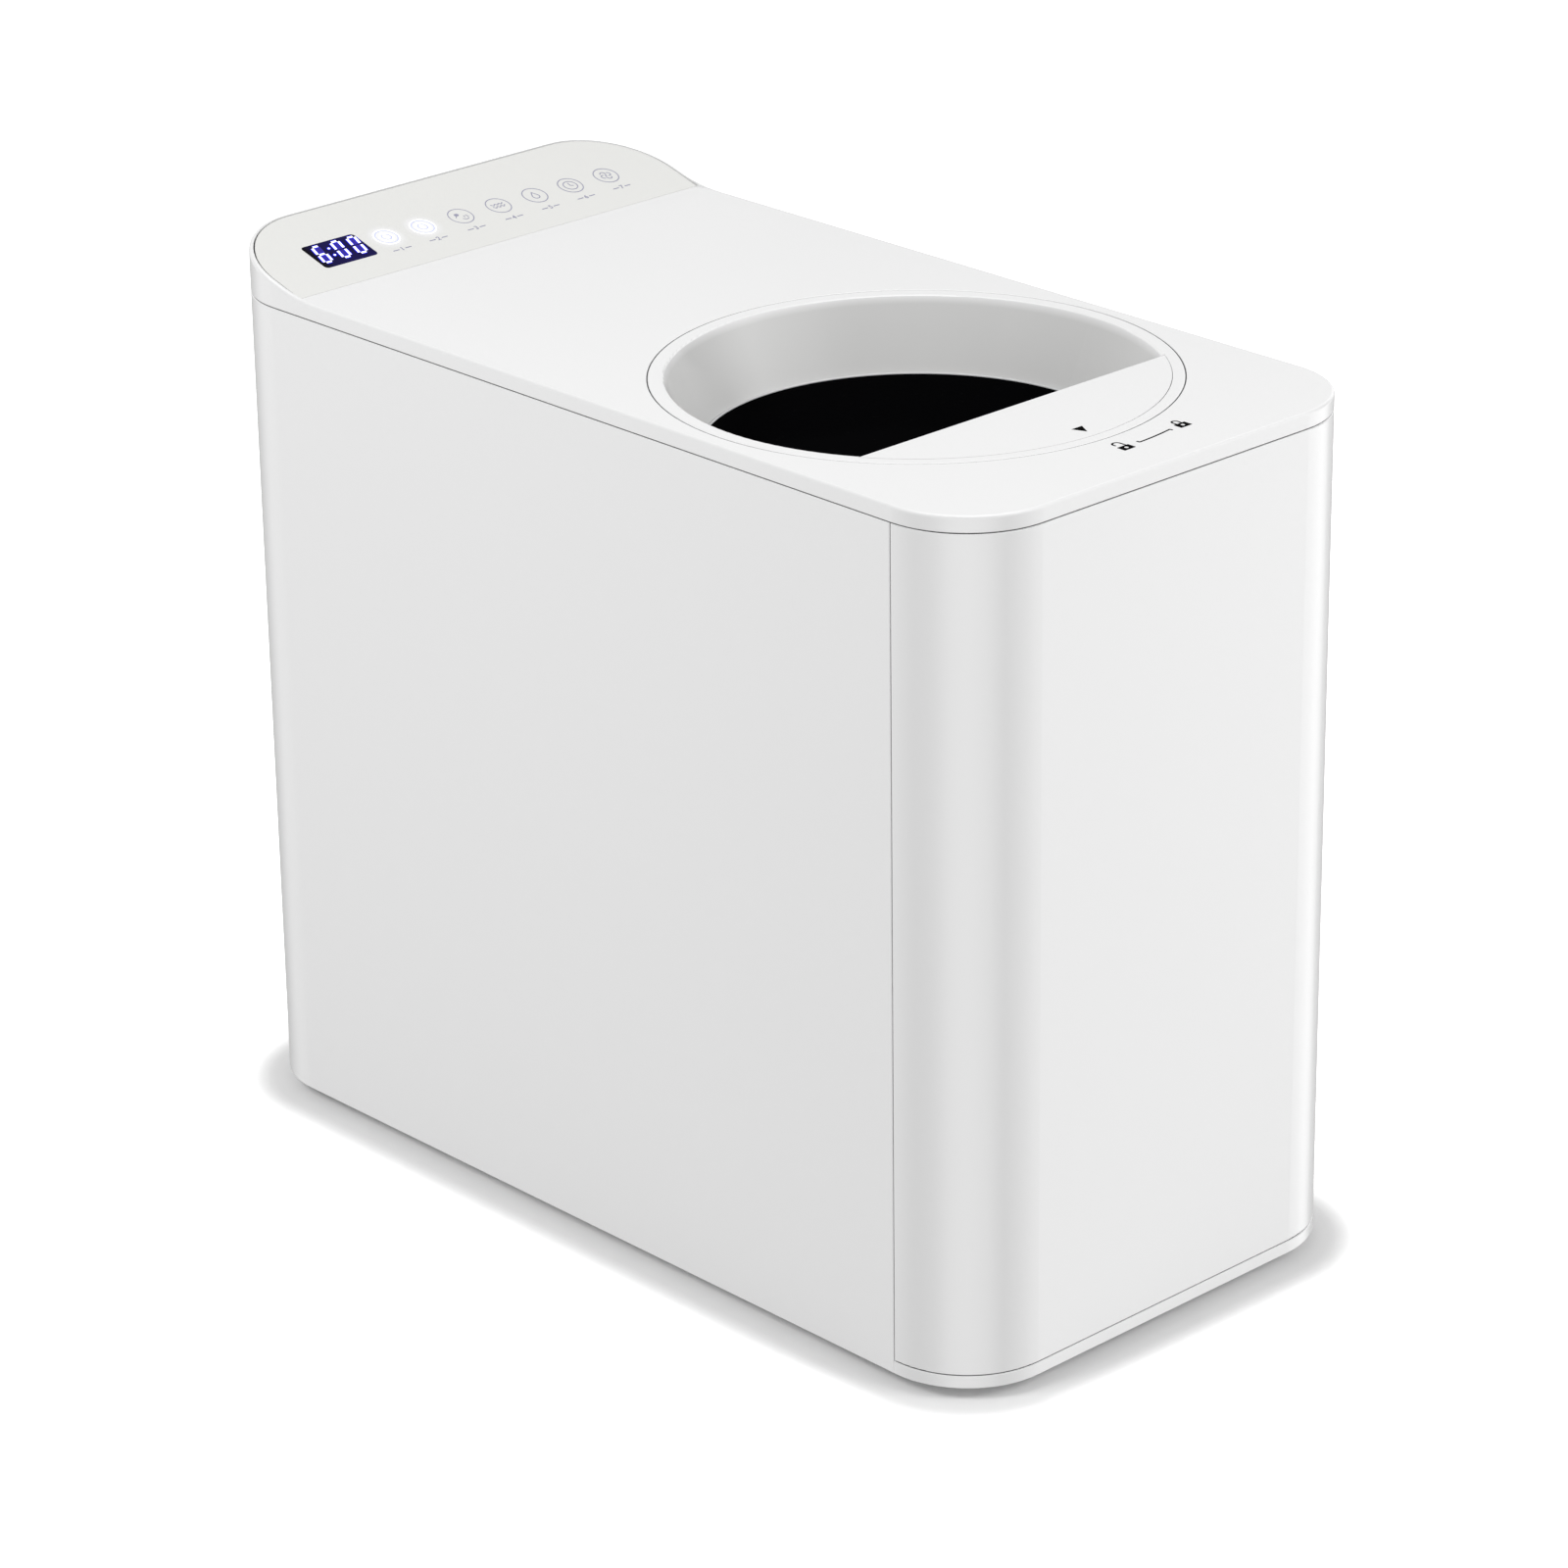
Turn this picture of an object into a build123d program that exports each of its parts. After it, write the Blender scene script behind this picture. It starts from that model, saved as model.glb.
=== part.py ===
from build123d import *
import os
from math import acos, cos, degrees, pi, radians, sin, sqrt, tan

# Electric food waste composter, millimetres, +Z up. The front faces -Y and the origin
# is on the floor, under the middle of the body.

# ---- Driving dimensions: casing ------------------------------------------------------
body_w = 203.6              # width across the flat sides
body_d = 400.0              # front to rear
corner_r = 35.7             # upright corners of the casing
wall = 2.5                  # casing walls
foot_stand = 5.0            # the feet hold the base this far off the floor
foot_r = 11.0
foot_inset_x = 26.0         # foot centres from the sides
foot_inset_y = 40.0         # foot centres from front and rear
foot_chamfer = 1.0
shell_h = 321.7             # base to the seam under the top cover
strip_h = 4.9               # strip of the base that shows under the front panel
base_t = 3.0
seam = 0.4                  # visible gap between casings
fit = 0.3                   # clearance between pieces that move or drop in
over = 1.0                  # cuts run this far past the faces that they open
near = 0.01                 # edges are picked within this distance
wrap_past_corner = 0.7      # the front panel ends this far behind its corner arcs
rib_h = 10.0                # rib of the base inside the shell
rib_gap = 8.0               # ribs of base and cover end this far behind the front seam
vent_slot = 3.2
vent_pitch = 8.0
rear_vent_count = 9
rear_vent_w = 44.0
rear_vent_x = 34.0          # middle of the two rows of vents
rear_vent_inset = 40.0      # rearmost vent from the rear face
front_vent_count = 3
front_vent_w = 90.0
front_vent_inset = 12.0     # foremost vent from the front panel

# top cover
cover_band = 6.1
deck_t = 3.0
cover_lip = 6.0             # lip that centres the cover in the shell
cover_lip_t = 1.6
cover_link_h = 2.0          # web between the lip and the cover's wall
edge_round = 1.2            # edge of the deck
seam_round = 0.4            # edges along the seams and under the casing
panel_run = 50.5            # control panel, crease to rear edge
panel_slope = 16.1          # degrees
panel_blend_r = 70.0        # rim curves from the deck into the slope
panel_rim = 1.7             # thin rim round the control panel
panel_gap = 0.6             # round the plate, inside the rim
crease_gap = 0.3            # along the crease
panel_t = 1.8
panel_drop = 0.1            # the plate lies this far under its rim
panel_ledge = 4.0           # ledge that carries the control panel
display_w = 25.3
display_h = 16.1
display_r = 1.6
display_side = 37.9         # centre, from the left side
display_up = 21.4           # centre, measured up the slope from the crease
display_gap = 0.1           # round the display window
display_module_rim = 2.0    # the module stands out this far round the window
display_module_gap = 0.5    # round the module, in the touch board
display_module_t = 6.0
touch_board_margin = 12.0   # ledge to the ends of the touch board
touch_board_h = 30.0

# lid
lid_side_margin = 6.5       # deck left beside the lid ring
lid_front_margin = 31.6
ring_w = 5.7                # flat ring round the recess
ring_t = 4.2
recess_depth = 26.6
funnel_run = 12.1           # how far the recess wall leans in
lid_wall = 2.5
skirt_in = 4.5              # ring edge to skirt
skirt_t = 2.2
skirt_h = 20.8
window_t = 3.0
window_seat = 4.6
retainer_t = 2.0
retainer_w = 7.0
foot_ring_t = 4.0
foot_lap = 1.0              # foot ring under the window's retainer
foot_band = 2.8             # foot ring's top over the window's upper face
groove_low = 1.2            # gasket's groove over the foot's underside
groove_h = 2.3
groove_depth = 1.5
lid_edge_round = 0.5        # outer edge of the lid and of the hole round it
grip_chord = 48.6           # grip plate's straight edge, in front of the lid's centre
grip_t = 3.0
grip_gap = 0.25             # seam round the grip plate
grip_lap = 1.2              # the plate reaches this far into the ring
brim_round = 0.8            # upper edge of the recess and of the grip plate
lug_count = 3
lug_h = 5.0
lug_reach = 3.5
lug_arc = 18.0              # degrees
lug_notch_play = 4.0        # degrees
lid_turn = 16.6             # degrees between the two lock marks
lid_magnet_t = 3.0
lid_magnet_h = 6.0
lid_magnet_arc = 6.0        # degrees
gasket_squeeze = 1.5        # foot ring to the well's flange
gasket_reach = 4.2          # lip that presses on the well's flange
gasket_t = 1.6
gasket_root = 3.2           # gasket's body starts this far over the flange
gasket_top = 5.0            # and ends this far over the foot's underside
switch_w = 14.0             # reed switch beside the collar
switch_t = 6.0
switch_h = 10.0
switch_arm_w = 10.0
switch_arm_t = 2.0

# chamber and bucket
collar_t = 2.6
collar_ledge_t = 4.3
flange_t = 2.5
well_wall = 1.8
well_gap = 2.0              # bucket to well wall
bucket_depth = 184.0
bucket_wall = 2.0
bucket_floor_t = 3.0
bucket_lip = 6.0
bucket_lip_t = 2.5
bail_d = 5.0
bail_gap = 2.5
bail_low_gap = 0.4          # bail's sleeve to the bucket's rim
rim_past_window = 2.5       # bucket's rim outside the window's edge
mouth_gap = 2.5             # bucket's rim to the well's mouth
ledge_gap = 0.5             # lid's skirt to the collar's ledge
bail_grip_t = 1.0
ear_t = 2.2
insulation_t = 2.6
insulation_low_gap = 4.0
insulation_top_gap = 12.0
insulation_slit_gap = 1.0   # beside the manifold
well_slot_count = 5         # exhaust slots under the well's flange
well_slot_step = 8.0        # degrees
well_slot_w = 7.0
well_slot_lift = 0.5
slot_h = 4.0
seal_t = 6.0                # shaft seal, radially
stand_t = 3.0
stand_lap = 8.0             # stand's ring inside the bucket's bore
leg_r = 5.0
heater_t = 4.0
heater_margin = 10.0        # bucket's bore to the heater plate's edge
heater_bore_r = 26.0
heater_pin_r = 2.5
heater_pin_h = 8.0
heater_pin_x = 8.0
thermostat_r = 8.0
thermostat_t = 6.0
thermostat_turn = 40.0      # degrees round the lid's axis
terminal_tab = 4.0          # its two flat terminals
terminal_tab_w = 2.0
terminal_tab_t = 1.0

# bucket and agitator
bucket_chamfer = 3.0
bucket_cove = 6.0           # slope between the bucket's wall and floor
boss_r = 16.0               # raised middle over the coupling
boss_wall = 2.5
boss_gap = 1.0
bush_h = 10.0
bush_t = 2.0
bail_pin_r = 1.6
bail_side_gap = 0.6
bail_pin_stub = 0.8
bail_grip_arc = 40.0        # degrees
ear_stand = 6.0             # ear plates from the bucket's bore
finger_count = 3
finger_turn = 45.0          # degrees, first finger
finger_z = 20.0             # fixed fingers over the bucket's floor
finger_t = 4.0
finger_w = 8.0
finger_reach = 40.0
finger_pad_t = 2.0
finger_pad_arc = 16.0       # degrees
finger_pad_margin = 6.0
hub_r = 11.0
hub_h = 30.0
hub_lift = 1.0              # over the bush
hub_cap_h = 6.0             # cone on the hub
hub_cap_in = 4.0
arm_t = 4.0
arm_w = 12.0
arm_side_gap = 3.0          # arms to the bucket's wall
arm_finger_gap = 3.0        # arms to the fixed fingers
post_gap = 3.0              # low arms' posts to the boss
post_t = 4.0
root_t = 6.0
root_lift = 2.0
scraper_t = 3.0
scraper_end = 8.0           # scrapers to the bucket's wall
scraper_gap = 1.5           # scrapers to the bucket's floor
high_arm_lift = 12.0        # high arms over the foot of the hub
tip_h = 18.0                # upright tips of the high arms
tip_t = 4.0
tip_in = 6.0                # tips to the ends of the arms

# drive
dog_r = 14.0
dog_tooth_h = 3.6
dog_plate_t = 2.8
dog_gap = 0.5
dog_lift = 1.5              # drive dog over the well's floor
tooth_arc = 85.0            # two teeth on each half leave 5 degrees of play beside each
shaft_r = 6.0
agitator_shaft_r = 5.0
running = 0.05              # radial clearance of a shaft in its bush
gear_gap = 2.0
module_out = 2.0            # output gear and the small gear that drives it
out_tooth_count = 38
b_small_tooth_count = 14
module_b = 1.5
b_big_tooth_count = 38
a_small_tooth_count = 14
module_a = 1.25
a_big_tooth_count = 44
motor_tooth_count = 16
out_gear_t = 12.0
b_gear_t = 8.0
a_gear_t = 6.0
gear_pin_r = 4.0
gear_hub_t = 4.0
gear_hub_gap = 0.8          # under the hubs of the two idler gears
gear_overhang = 0.6         # small gears are wider than their wheels by this, each side
gear_addendum = 0.9         # of the module
gear_dedendum = 1.15        # of the module
flank_point_count = 5
out_bush_t = 3.0
out_bush_h = 8.0            # over the gearbox cover
out_bush_wall = 5.0
bush_gap = 0.5              # lower bush to the output gear
blind_t = 1.0               # left under blind bores
pinion_gap = 1.5            # round the pinion, in the gearbox cover
screw_ear_r = 6.0
screw_boss_r = 4.0
screw_ear_out = 4.0         # screw centres from the gearbox wall
screw_ear_turn = 35.0       # degrees
gearbox_wall = 2.5
gearbox_cover_t = 3.0
gearbox_lift = 4.0          # gearbox stands on bosses of this height
gearbox_play = 6.0          # gear tips to the gearbox wall
pressure_angle = 25.0
backlash = 0.10             # of the tooth's width
motor_r = 32.0
motor_h = 70.0
motor_shaft_r = 3.0
motor_can_t = 1.8
motor_plate_t = 2.0
motor_neck_t = 4.0
motor_neck_h = 4.0
motor_cap_t = 4.0
motor_boss_r = 9.0
motor_boss_h = 5.0
motor_blind_t = 2.0
terminal_x = 15.0           # motor's two flat terminals
terminal_y = 14.0
terminal_w = 4.0
terminal_t = 2.0
terminal_h = 7.0
motor_magnet_t = 5.0
motor_magnet_arc = 120.0    # degrees
motor_magnet_lap = 4.0      # magnets past the ends of the armature
motor_air_gap = 1.2
armature_low = 14.0         # armature to the can's floor
armature_high = 18.0        # and to its rim
armature_slot_count = 8
armature_slot_w = 3.0
armature_slot_depth = 7.0
commutator_r = 9.0
commutator_h = 12.0
commutator_gap = 2.0

# front drawer with the odour filter
cassette_front_gap = 2.0
cassette_t = 20.0
cassette_side_gap = 3.45    # cassette's front edges to the panel's inner corners
cassette_h = 215.0
cassette_rim = 3.0          # side walls of the cassette's frame
cassette_wall = 1.6         # its front and rear grids
cassette_edge = 5.0         # frame edge to the first window
cassette_bar = 4.0          # bars between the windows
cassette_window_count = 7
drawer_clear = 2.5
tray_t = 3.0
tray_lift = 6.0
tray_back = 1.2             # shelf behind the cassette
tray_slot_count = 2
tray_slot_margin = 19.0
tray_slot_inset = 6.0
cheek_h = 118.0             # cheeks beside the cassette
runner_w = 6.0
runner_h = 10.0
runner_len = 148.0
rail_wall = 2.5
rail_side_gap = 4.0
rail_front_gap = 4.5        # cassette to the rails
rail_end_gap = 4.0          # runners' ends to the rails' ends
rail_lip = 2.0              # the rails close over this much of the runners' height
magnet_h = 14.0
magnet_w = 12.0
catch_t = 2.0
catch_drop = 48.0           # foot of the catch under the seam
catch_side_gap = 2.4
tab_t = 2.5                 # tabs that carry the catch plates

# fan and manifold
fan_size = 60.0
fan_t = 15.0
fan_z = 195.0
fan_blade_count = 7
fan_pitch = 35.0            # degrees
fan_hub_r = 13.0
fan_hub_t = 9.5
fan_hub_wall = 1.5
fan_front_gap = 1.5         # fan's front face to the hub
fan_blade_w = 11.0
fan_blade_t = 1.8
fan_blade_z = 6.2           # blades' middle from the fan's front face
fan_blade_room = 10.4       # blades are trimmed to this depth
fan_tip_gap = 0.8
fan_frame_r = 4.0
fan_wall = 1.5
fan_screw_inset = 5.0
fan_strut_count = 4
fan_strut_w = 3.0
fan_strut_t = 1.8
fan_axle_r = 2.0
fan_axle_gap = 5.0          # fan's front face to the axle's end
frame_t = 2.0
manifold_w = 68.0
manifold_wall = 2.0
manifold_low = 4.0          # duct's floor under the fan
manifold_ring = 3.0         # duct's front covers this much of the fan's rim
manifold_lap = 0.7          # the duct ends this share of the well's radius in front of its axis

# rear compartment
inlet_x = 44.0
inlet_z = 45.0
inlet_w = 27.0
inlet_h = 19.6
inlet_lip = 2.5
inlet_depth = 22.0
inlet_flange_t = 1.5
inlet_wall = 1.5
inlet_back_t = 3.0
inlet_pin_x = 7.0
inlet_earth_z = 4.0         # third pin over the other two
inlet_pin_w = 2.0
inlet_pin_h = 4.0
inlet_pin_in = 5.0          # pin tips behind the socket's mouth
inlet_tag = 6.0             # pins' tags behind the socket
grille_w = 84.0
grille_h = 54.0
grille_z = 262.0
grille_r = 5.0
grille_slot = 3.2
grille_pitch = 7.0
grille_slot_margin = 6.0
grille_edge = 5.0           # left free over and under the slots
board_w = 92.0
board_h = 130.0
board_t = 1.6
board_lift = 22.0           # board's lower edge over the floor
board_screw_inset = 5.0
board_boss_r = 3.5
standoff = 6.0
screw_r = 1.7
screw_play = 0.05
screw_head_r = 3.2
screw_head_h = 2.4
screw_recess = 1.8          # arms of the cross recess
screw_recess_w = 0.7
screw_recess_depth = 1.2
# blocks on the power board: distance from its front edge and from its lower edge, then
# thickness off the board, length along it and height
transformer = (12.0, 14.0, 26.0, 32.0, 30.0)
relay = (52.0, 16.0, 16.0, 20.0, 16.0)
cooler_back = (14.0, 60.0, 24.0, 4.0, 40.0)
cooler_fin = (18.0, 60.0, 24.0, 8.0, 2.0)
cooler_fin_count = 5
cooler_fin_pitch = 9.0
capacitor_sides = (56.0, 76.0)
capacitor_z = 52.0
capacitor_r = 8.0
capacitor_h = 22.0
plug_t = 9.0
plug_w = 16.0
plug_h = 10.0
plug_side = 48.0            # plugs from the board's front edge
plug_low = 75.0             # first plug over the board's lower edge
plug_pitch = 18.0
plug_count = 3
lead_r = 1.3
lead_bend_r = 9.0
lead_side = 4.0             # the two leads of a pair leave a plug this far off its middle
lead_out = 24.0             # straight run out of a plug
lead_rise = 16.0            # leads rise this far over the motor's terminals
inlet_lead_x = -40.0        # where the inlet's leads turn towards the board
touch_lead_out = 36.0
touch_lead_x = 60.0         # the touch board's lead climbs this far from the plug

# ---- Places that follow from them ----------------------------------------------------
z_base = foot_stand
z_floor = z_base + base_t
z_panel = z_base + strip_h              # lower edge of the front panel
z_shell = z_base + shell_h              # seam under the top cover
z_deck = z_shell + cover_band
y_front = -body_d / 2
y_rear = body_d / 2
y_crease = y_rear - panel_run
y_seam = y_front + corner_r + wrap_past_corner
slope = radians(panel_slope)
display_x = display_side - body_w / 2
z_rear = z_deck + panel_run * tan(slope)

lid_r = body_w / 2 - lid_side_margin
lid_y = y_front + lid_front_margin + lid_r
recess_r = lid_r - ring_w
window_r = recess_r - funnel_run
z_window = z_deck - recess_depth
z_retainer = z_window - window_t - retainer_t
disc_r = window_r + window_seat
foot_in_r = disc_r + fit
foot_out_r = foot_in_r + foot_ring_t
z_lid_foot = z_retainer - foot_lap
skirt_r = lid_r - skirt_in
z_ring_under = z_deck - ring_t
z_skirt = z_ring_under - skirt_h + ring_t

z_flange = z_lid_foot - gasket_squeeze  # top of the well's flange, under the gasket
bail_z = z_retainer - bail_gap - bail_d / 2
z_rim = bail_z - bail_d / 2 - bail_grip_t - bail_low_gap    # top of the bucket's rim
rim_r = window_r + rim_past_window
bucket_out_r = rim_r - bucket_lip
bucket_r = bucket_out_r - bucket_wall
z_bucket_in = z_rim - bucket_depth
z_bucket = z_bucket_in - bucket_floor_t
well_r = bucket_out_r + well_gap
well_out_r = well_r + well_wall
mouth_r = rim_r + mouth_gap             # upper, wider part of the well
mouth_out_r = mouth_r + well_wall
z_step = z_rim - bucket_lip_t - fit
z_well_in = z_bucket - well_gap
z_well = z_well_in - well_wall
collar_in_r = lid_r + 2 * fit
collar_out_r = collar_in_r + collar_t
ledge_r = skirt_r + ledge_gap
z_ledge = z_ring_under - fit

# gear centres, in line behind the output shaft
centre_out_b = module_out * (out_tooth_count + b_small_tooth_count) / 2
centre_b_a = module_b * (b_big_tooth_count + a_small_tooth_count) / 2
centre_a_motor = module_a * (a_big_tooth_count + motor_tooth_count) / 2
gear_b_y = lid_y + centre_out_b
gear_a_y = gear_b_y + centre_b_a
motor_y = gear_a_y + centre_a_motor
z_gearbox = z_floor + gearbox_lift
z_gears = z_gearbox + gearbox_wall + gear_gap
z_gears_b = z_gears + out_gear_t + gear_gap
z_gears_a = z_gears_b + b_gear_t + gear_gap
z_gear_cover = z_gears_a + a_gear_t + gear_gap
z_motor = z_gear_cover + gearbox_cover_t
gearbox_r = module_out * out_tooth_count / 2 + module_out + gearbox_play
gearbox_end_r = motor_r + gearbox_wall

# drawer and fan, counted back from the front panel's inner face
y_panel_in = y_front + wall
y_cassette = y_panel_in + cassette_front_gap
y_cassette_back = y_cassette + cassette_t
y_fan = y_cassette_back + drawer_clear
y_frame = y_fan + fan_t
side_in = body_w / 2 - wall
inner_r = corner_r - wall
z_catch = z_shell - seam - catch_drop
pivot_x = bucket_r + ear_stand          # ear plates from the bucket's middle plane
seal_r = shaft_r + seal_t
stand_in_r = bucket_r - stand_lap
armature_r = motor_r - motor_can_t - motor_magnet_t - motor_air_gap
z_terminal = z_motor + motor_h + motor_cap_t + terminal_h
fan_axle_bore_r = fan_axle_r + 2 * running
corner_reach = sqrt(inner_r ** 2 - (inner_r - cassette_front_gap) ** 2)
cassette_w = 2 * (body_w / 2 - corner_r + corner_reach - cassette_side_gap)
runner_x = side_in - rail_side_gap - rail_wall - fit - runner_w / 2
z_runner = z_floor + rail_wall + fit
z_tray = z_floor + tray_lift


# ---- Helpers -------------------------------------------------------------------------
def box(x0, x1, y0, y1, z0, z1):
    """Box between two corners."""
    return Pos(x0, y0, z0) * Box(x1 - x0, y1 - y0, z1 - z0, align=(Align.MIN,) * 3)


def tube(r_out, r_in, z0, z1):
    """Upright ring round the Z axis; a plain cylinder where r_in is 0."""
    low = (Align.CENTER, Align.CENTER, Align.MIN)
    body = Pos(0, 0, z0) * Cylinder(r_out, z1 - z0, align=low)
    if r_in > 0:
        body -= Pos(0, 0, z0) * Cylinder(r_in, z1 - z0, align=low)
    return body


def sector(r_out, r_in, z0, z1, start, arc):
    """Stretch of an upright ring, from the angle start over arc degrees."""
    face = Plane.XZ * Pos((r_in + r_out) / 2, (z0 + z1) / 2) * Rectangle(r_out - r_in, z1 - z0)
    return Rot(0, 0, start) * revolve(face, Axis.Z, revolution_arc=arc)


def turned(points):
    """Solid of revolution round Z from a closed (radius, height) outline."""
    return revolve(make_face(Plane.XZ * Polyline(*points, close=True)), Axis.Z)


def outline(inset, z0, z1):
    """The casing's rounded plan shape, moved in by inset, as a prism."""
    plan = RectangleRounded(body_w - 2 * inset, body_d - 2 * inset, corner_r - inset)
    return extrude(Pos(0, 0, z0) * plan, z1 - z0)


def at_lid(shape):
    return Pos(0, lid_y, 0) * shape


def involute(angle):
    return tan(angle) - angle


def gear(module, teeth, z0, z1, bore_r, facing):
    """Involute spur gear; the middle of one tooth looks along the angle facing."""
    pitch_r = module * teeth / 2
    base_r = pitch_r * cos(radians(pressure_angle))
    tip_r = pitch_r + gear_addendum * module
    root_r = pitch_r - gear_dedendum * module
    half = pi / (2 * teeth) * (1 - backlash) + involute(radians(pressure_angle))
    flank_start = max(root_r, base_r)
    flank = []
    for step in range(flank_point_count):
        r = flank_start + (tip_r - flank_start) * step / (flank_point_count - 1)
        flank.append((r, half - involute(acos(min(1.0, base_r / r)))))
    if root_r < base_r:
        flank.insert(0, (root_r, half))
    points = []
    for tooth in range(teeth):
        middle = radians(facing) + 2 * pi * tooth / teeth
        points += [(r * cos(middle - a), r * sin(middle - a)) for r, a in flank]
        points += [(r * cos(middle + a), r * sin(middle + a)) for r, a in reversed(flank)]
    blank = extrude(Pos(0, 0, z0) * make_face(Polyline(*points, close=True)), z1 - z0)
    return blank - tube(bore_r, 0, z0, z1)


def mirrored_pair(shape):
    """The shape and its mirror image across the middle plane."""
    return Compound([*shape.solids(), *mirror(shape, Plane.YZ).solids()])


def group(shapes):
    """Separate solids kept together in one node."""
    return Compound([solid for shape in shapes for solid in shape.solids()])


def off_skin(point):
    """Distance in plan from a point to the casing's outside."""
    x, y = abs(point.X) - body_w / 2 + corner_r, abs(point.Y) - body_d / 2 + corner_r
    reach = sqrt(x * x + y * y) if x > 0 and y > 0 else max(x, y)
    return abs(reach - corner_r)


def skin_edges(shape, z0, z1):
    """Edges on the casing's outside from z0 to z1, but no upright ones except at the front seam."""
    edges = []
    for edge in shape.edges():
        on_skin = max(off_skin(edge @ 0), off_skin(edge @ 0.5), off_skin(edge @ 1)) < near
        upright = edge.bounding_box().size.Z > edge.length - near
        at_seam = abs(edge.center().Y - y_seam - seam / 2) < seam
        if on_skin and z0 - near < edge.center().Z < z1 + near and (at_seam or not upright):
            edges.append(edge)
    return edges


def soften(shape, z0, z1):
    """Round the outside edges that skin_edges finds."""
    return fillet(skin_edges(shape, z0, z1), seam_round)


def rings_at(shape, r, z):
    """Circular edges of radius r, at height z."""
    circles = shape.edges().filter_by(GeomType.CIRCLE)
    return [e for e in circles if abs(e.radius - r) < near and abs((e @ 0).Z - z) < near]


# ---- Casing --------------------------------------------------------------------------
def side_shell():
    top = z_shell - seam
    shell = outline(0, z_base, top) - outline(wall, z_base, top)
    shell -= box(-body_w, body_w, y_front, y_seam + seam, z_base, z_shell)
    shell = soften(shell, z_base, top)
    hole_w, hole_h = inlet_w / 2 + fit, inlet_h / 2 + fit
    hole = box(inlet_x - hole_w, inlet_x + hole_w, y_rear - wall, y_rear,
               inlet_z - hole_h, inlet_z + hole_h)
    lip_w, lip_h = hole_w + inlet_lip, hole_h + inlet_lip
    pocket = box(inlet_x - lip_w, inlet_x + lip_w, y_rear - inlet_flange_t, y_rear,
                 inlet_z - lip_h, inlet_z + lip_h)
    vent = RectangleRounded(grille_w + 2 * fit, grille_h + 2 * fit, grille_r + fit)
    shell -= pocket + hole + extrude(on_rear(vent), wall)
    for y, z in board_corners():
        boss = tube(board_boss_r, screw_r, -wall / 2, standoff)
        shell += Pos(-side_in, y, z) * Rot(0, 90, 0) * boss
    return shell


def on_rear(plan):
    """A flat plan laid on the rear face, round the exhaust grille's middle."""
    return Plane.XZ.offset(-y_rear) * Pos(0, grille_z) * plan


def board_low():
    """Front lower corner of the power board, as (y, z)."""
    return y_rear - corner_r - wall - board_w, z_floor + board_lift


def board_corners():
    """Screw places of the power board on the left wall, as (y, z)."""
    y0, z0 = board_low()
    return [(y, z) for y in (y0 + board_screw_inset, y0 + board_w - board_screw_inset)
            for z in (z0 + board_screw_inset, z0 + board_h - board_screw_inset)]


def base_tray():
    top = z_floor + rib_h
    floor = outline(wall + fit, z_base, z_floor)
    rib = outline(wall + fit, z_floor, top) - outline(2 * wall + fit, z_floor, top)
    rib -= box(-body_w, body_w, y_front, y_seam + rib_gap, z_floor, top)
    front = box(-body_w, body_w, y_front, y_seam + seam, z_base, top)
    strip = (outline(0, z_base, z_panel) - outline(wall + fit, z_base, z_panel)) & front
    tray = floor + soften(strip, z_base, z_panel) + rib
    for x, y in gearbox_feet():
        tray += Pos(x, y, 0) * tube(screw_boss_r, 0, z_floor, z_gearbox)
    for row in range(rear_vent_count):
        y = y_rear - rear_vent_inset - row * vent_pitch
        for x in (-rear_vent_x, rear_vent_x):
            tray -= extrude(Pos(x, y, z_base) * SlotOverall(rear_vent_w, vent_slot), base_t)
    for row in range(front_vent_count):
        y = y_panel_in + front_vent_inset + row * vent_pitch
        tray -= extrude(Pos(0, y, z_base) * SlotOverall(front_vent_w, vent_slot), base_t)
    return tray


def foot_places():
    x, y = body_w / 2 - foot_inset_x, body_d / 2 - foot_inset_y
    return [(sx * x, sy * y) for sx in (-1, 1) for sy in (-1, 1)]


def rubber_feet():
    pad = [(0, 0), (foot_r - foot_chamfer, 0), (foot_r, foot_chamfer),
           (foot_r - foot_chamfer, z_base), (0, z_base)]
    return group([Pos(x, y, 0) * turned(pad) for x, y in foot_places()])


def cover_profile(drop):
    """Side view of the cover's upper face, lowered by drop, closed under the seam."""
    reach = panel_blend_r * tan(slope / 2)
    z_top, z_low, y0, y1 = z_deck - drop, z_shell - over, y_front - over, y_rear + over
    blend_start = (y_crease - reach, z_top)
    blend_end = (y_crease + reach * cos(slope), z_top + reach * sin(slope))
    end = (y1, z_top + (panel_run + over) * tan(slope))
    lines = [Line((y0, z_low), (y0, z_top)),
             Line((y0, z_top), blend_start),
             TangentArc(blend_start, blend_end, tangent=(1, 0)),
             Line(blend_end, end),
             Line(end, (y1, z_low)),
             Line((y1, z_low), (y0, z_low))]
    face = make_face(Plane.YZ * Curve(children=lines))
    return extrude(face, body_w / 2 + over, both=True)


def above_panel(drop, height):
    """Everything over the control panel's plane lowered by drop, up to height."""
    slab = Box(2 * body_w, 3 * panel_run, height, align=(Align.CENTER, Align.CENTER, Align.MIN))
    return Pos(0, y_crease, z_deck) * Rot(panel_slope, 0, 0) * Pos(0, 0, -drop) * slab


def panel_outline(inset, gap):
    """Plan of the control panel: the casing's outline, from a gap behind the crease, as a prism."""
    top = z_rear + over
    return outline(inset, z_shell, top) & box(-body_w, body_w, y_crease + gap, y_rear, z_shell, top)


def on_panel(x, up, height=0.0):
    """Place on the control panel, up the slope from the crease."""
    return Pos(0, y_crease, z_deck) * Rot(panel_slope, 0, 0) * Pos(x, up, height)


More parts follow.
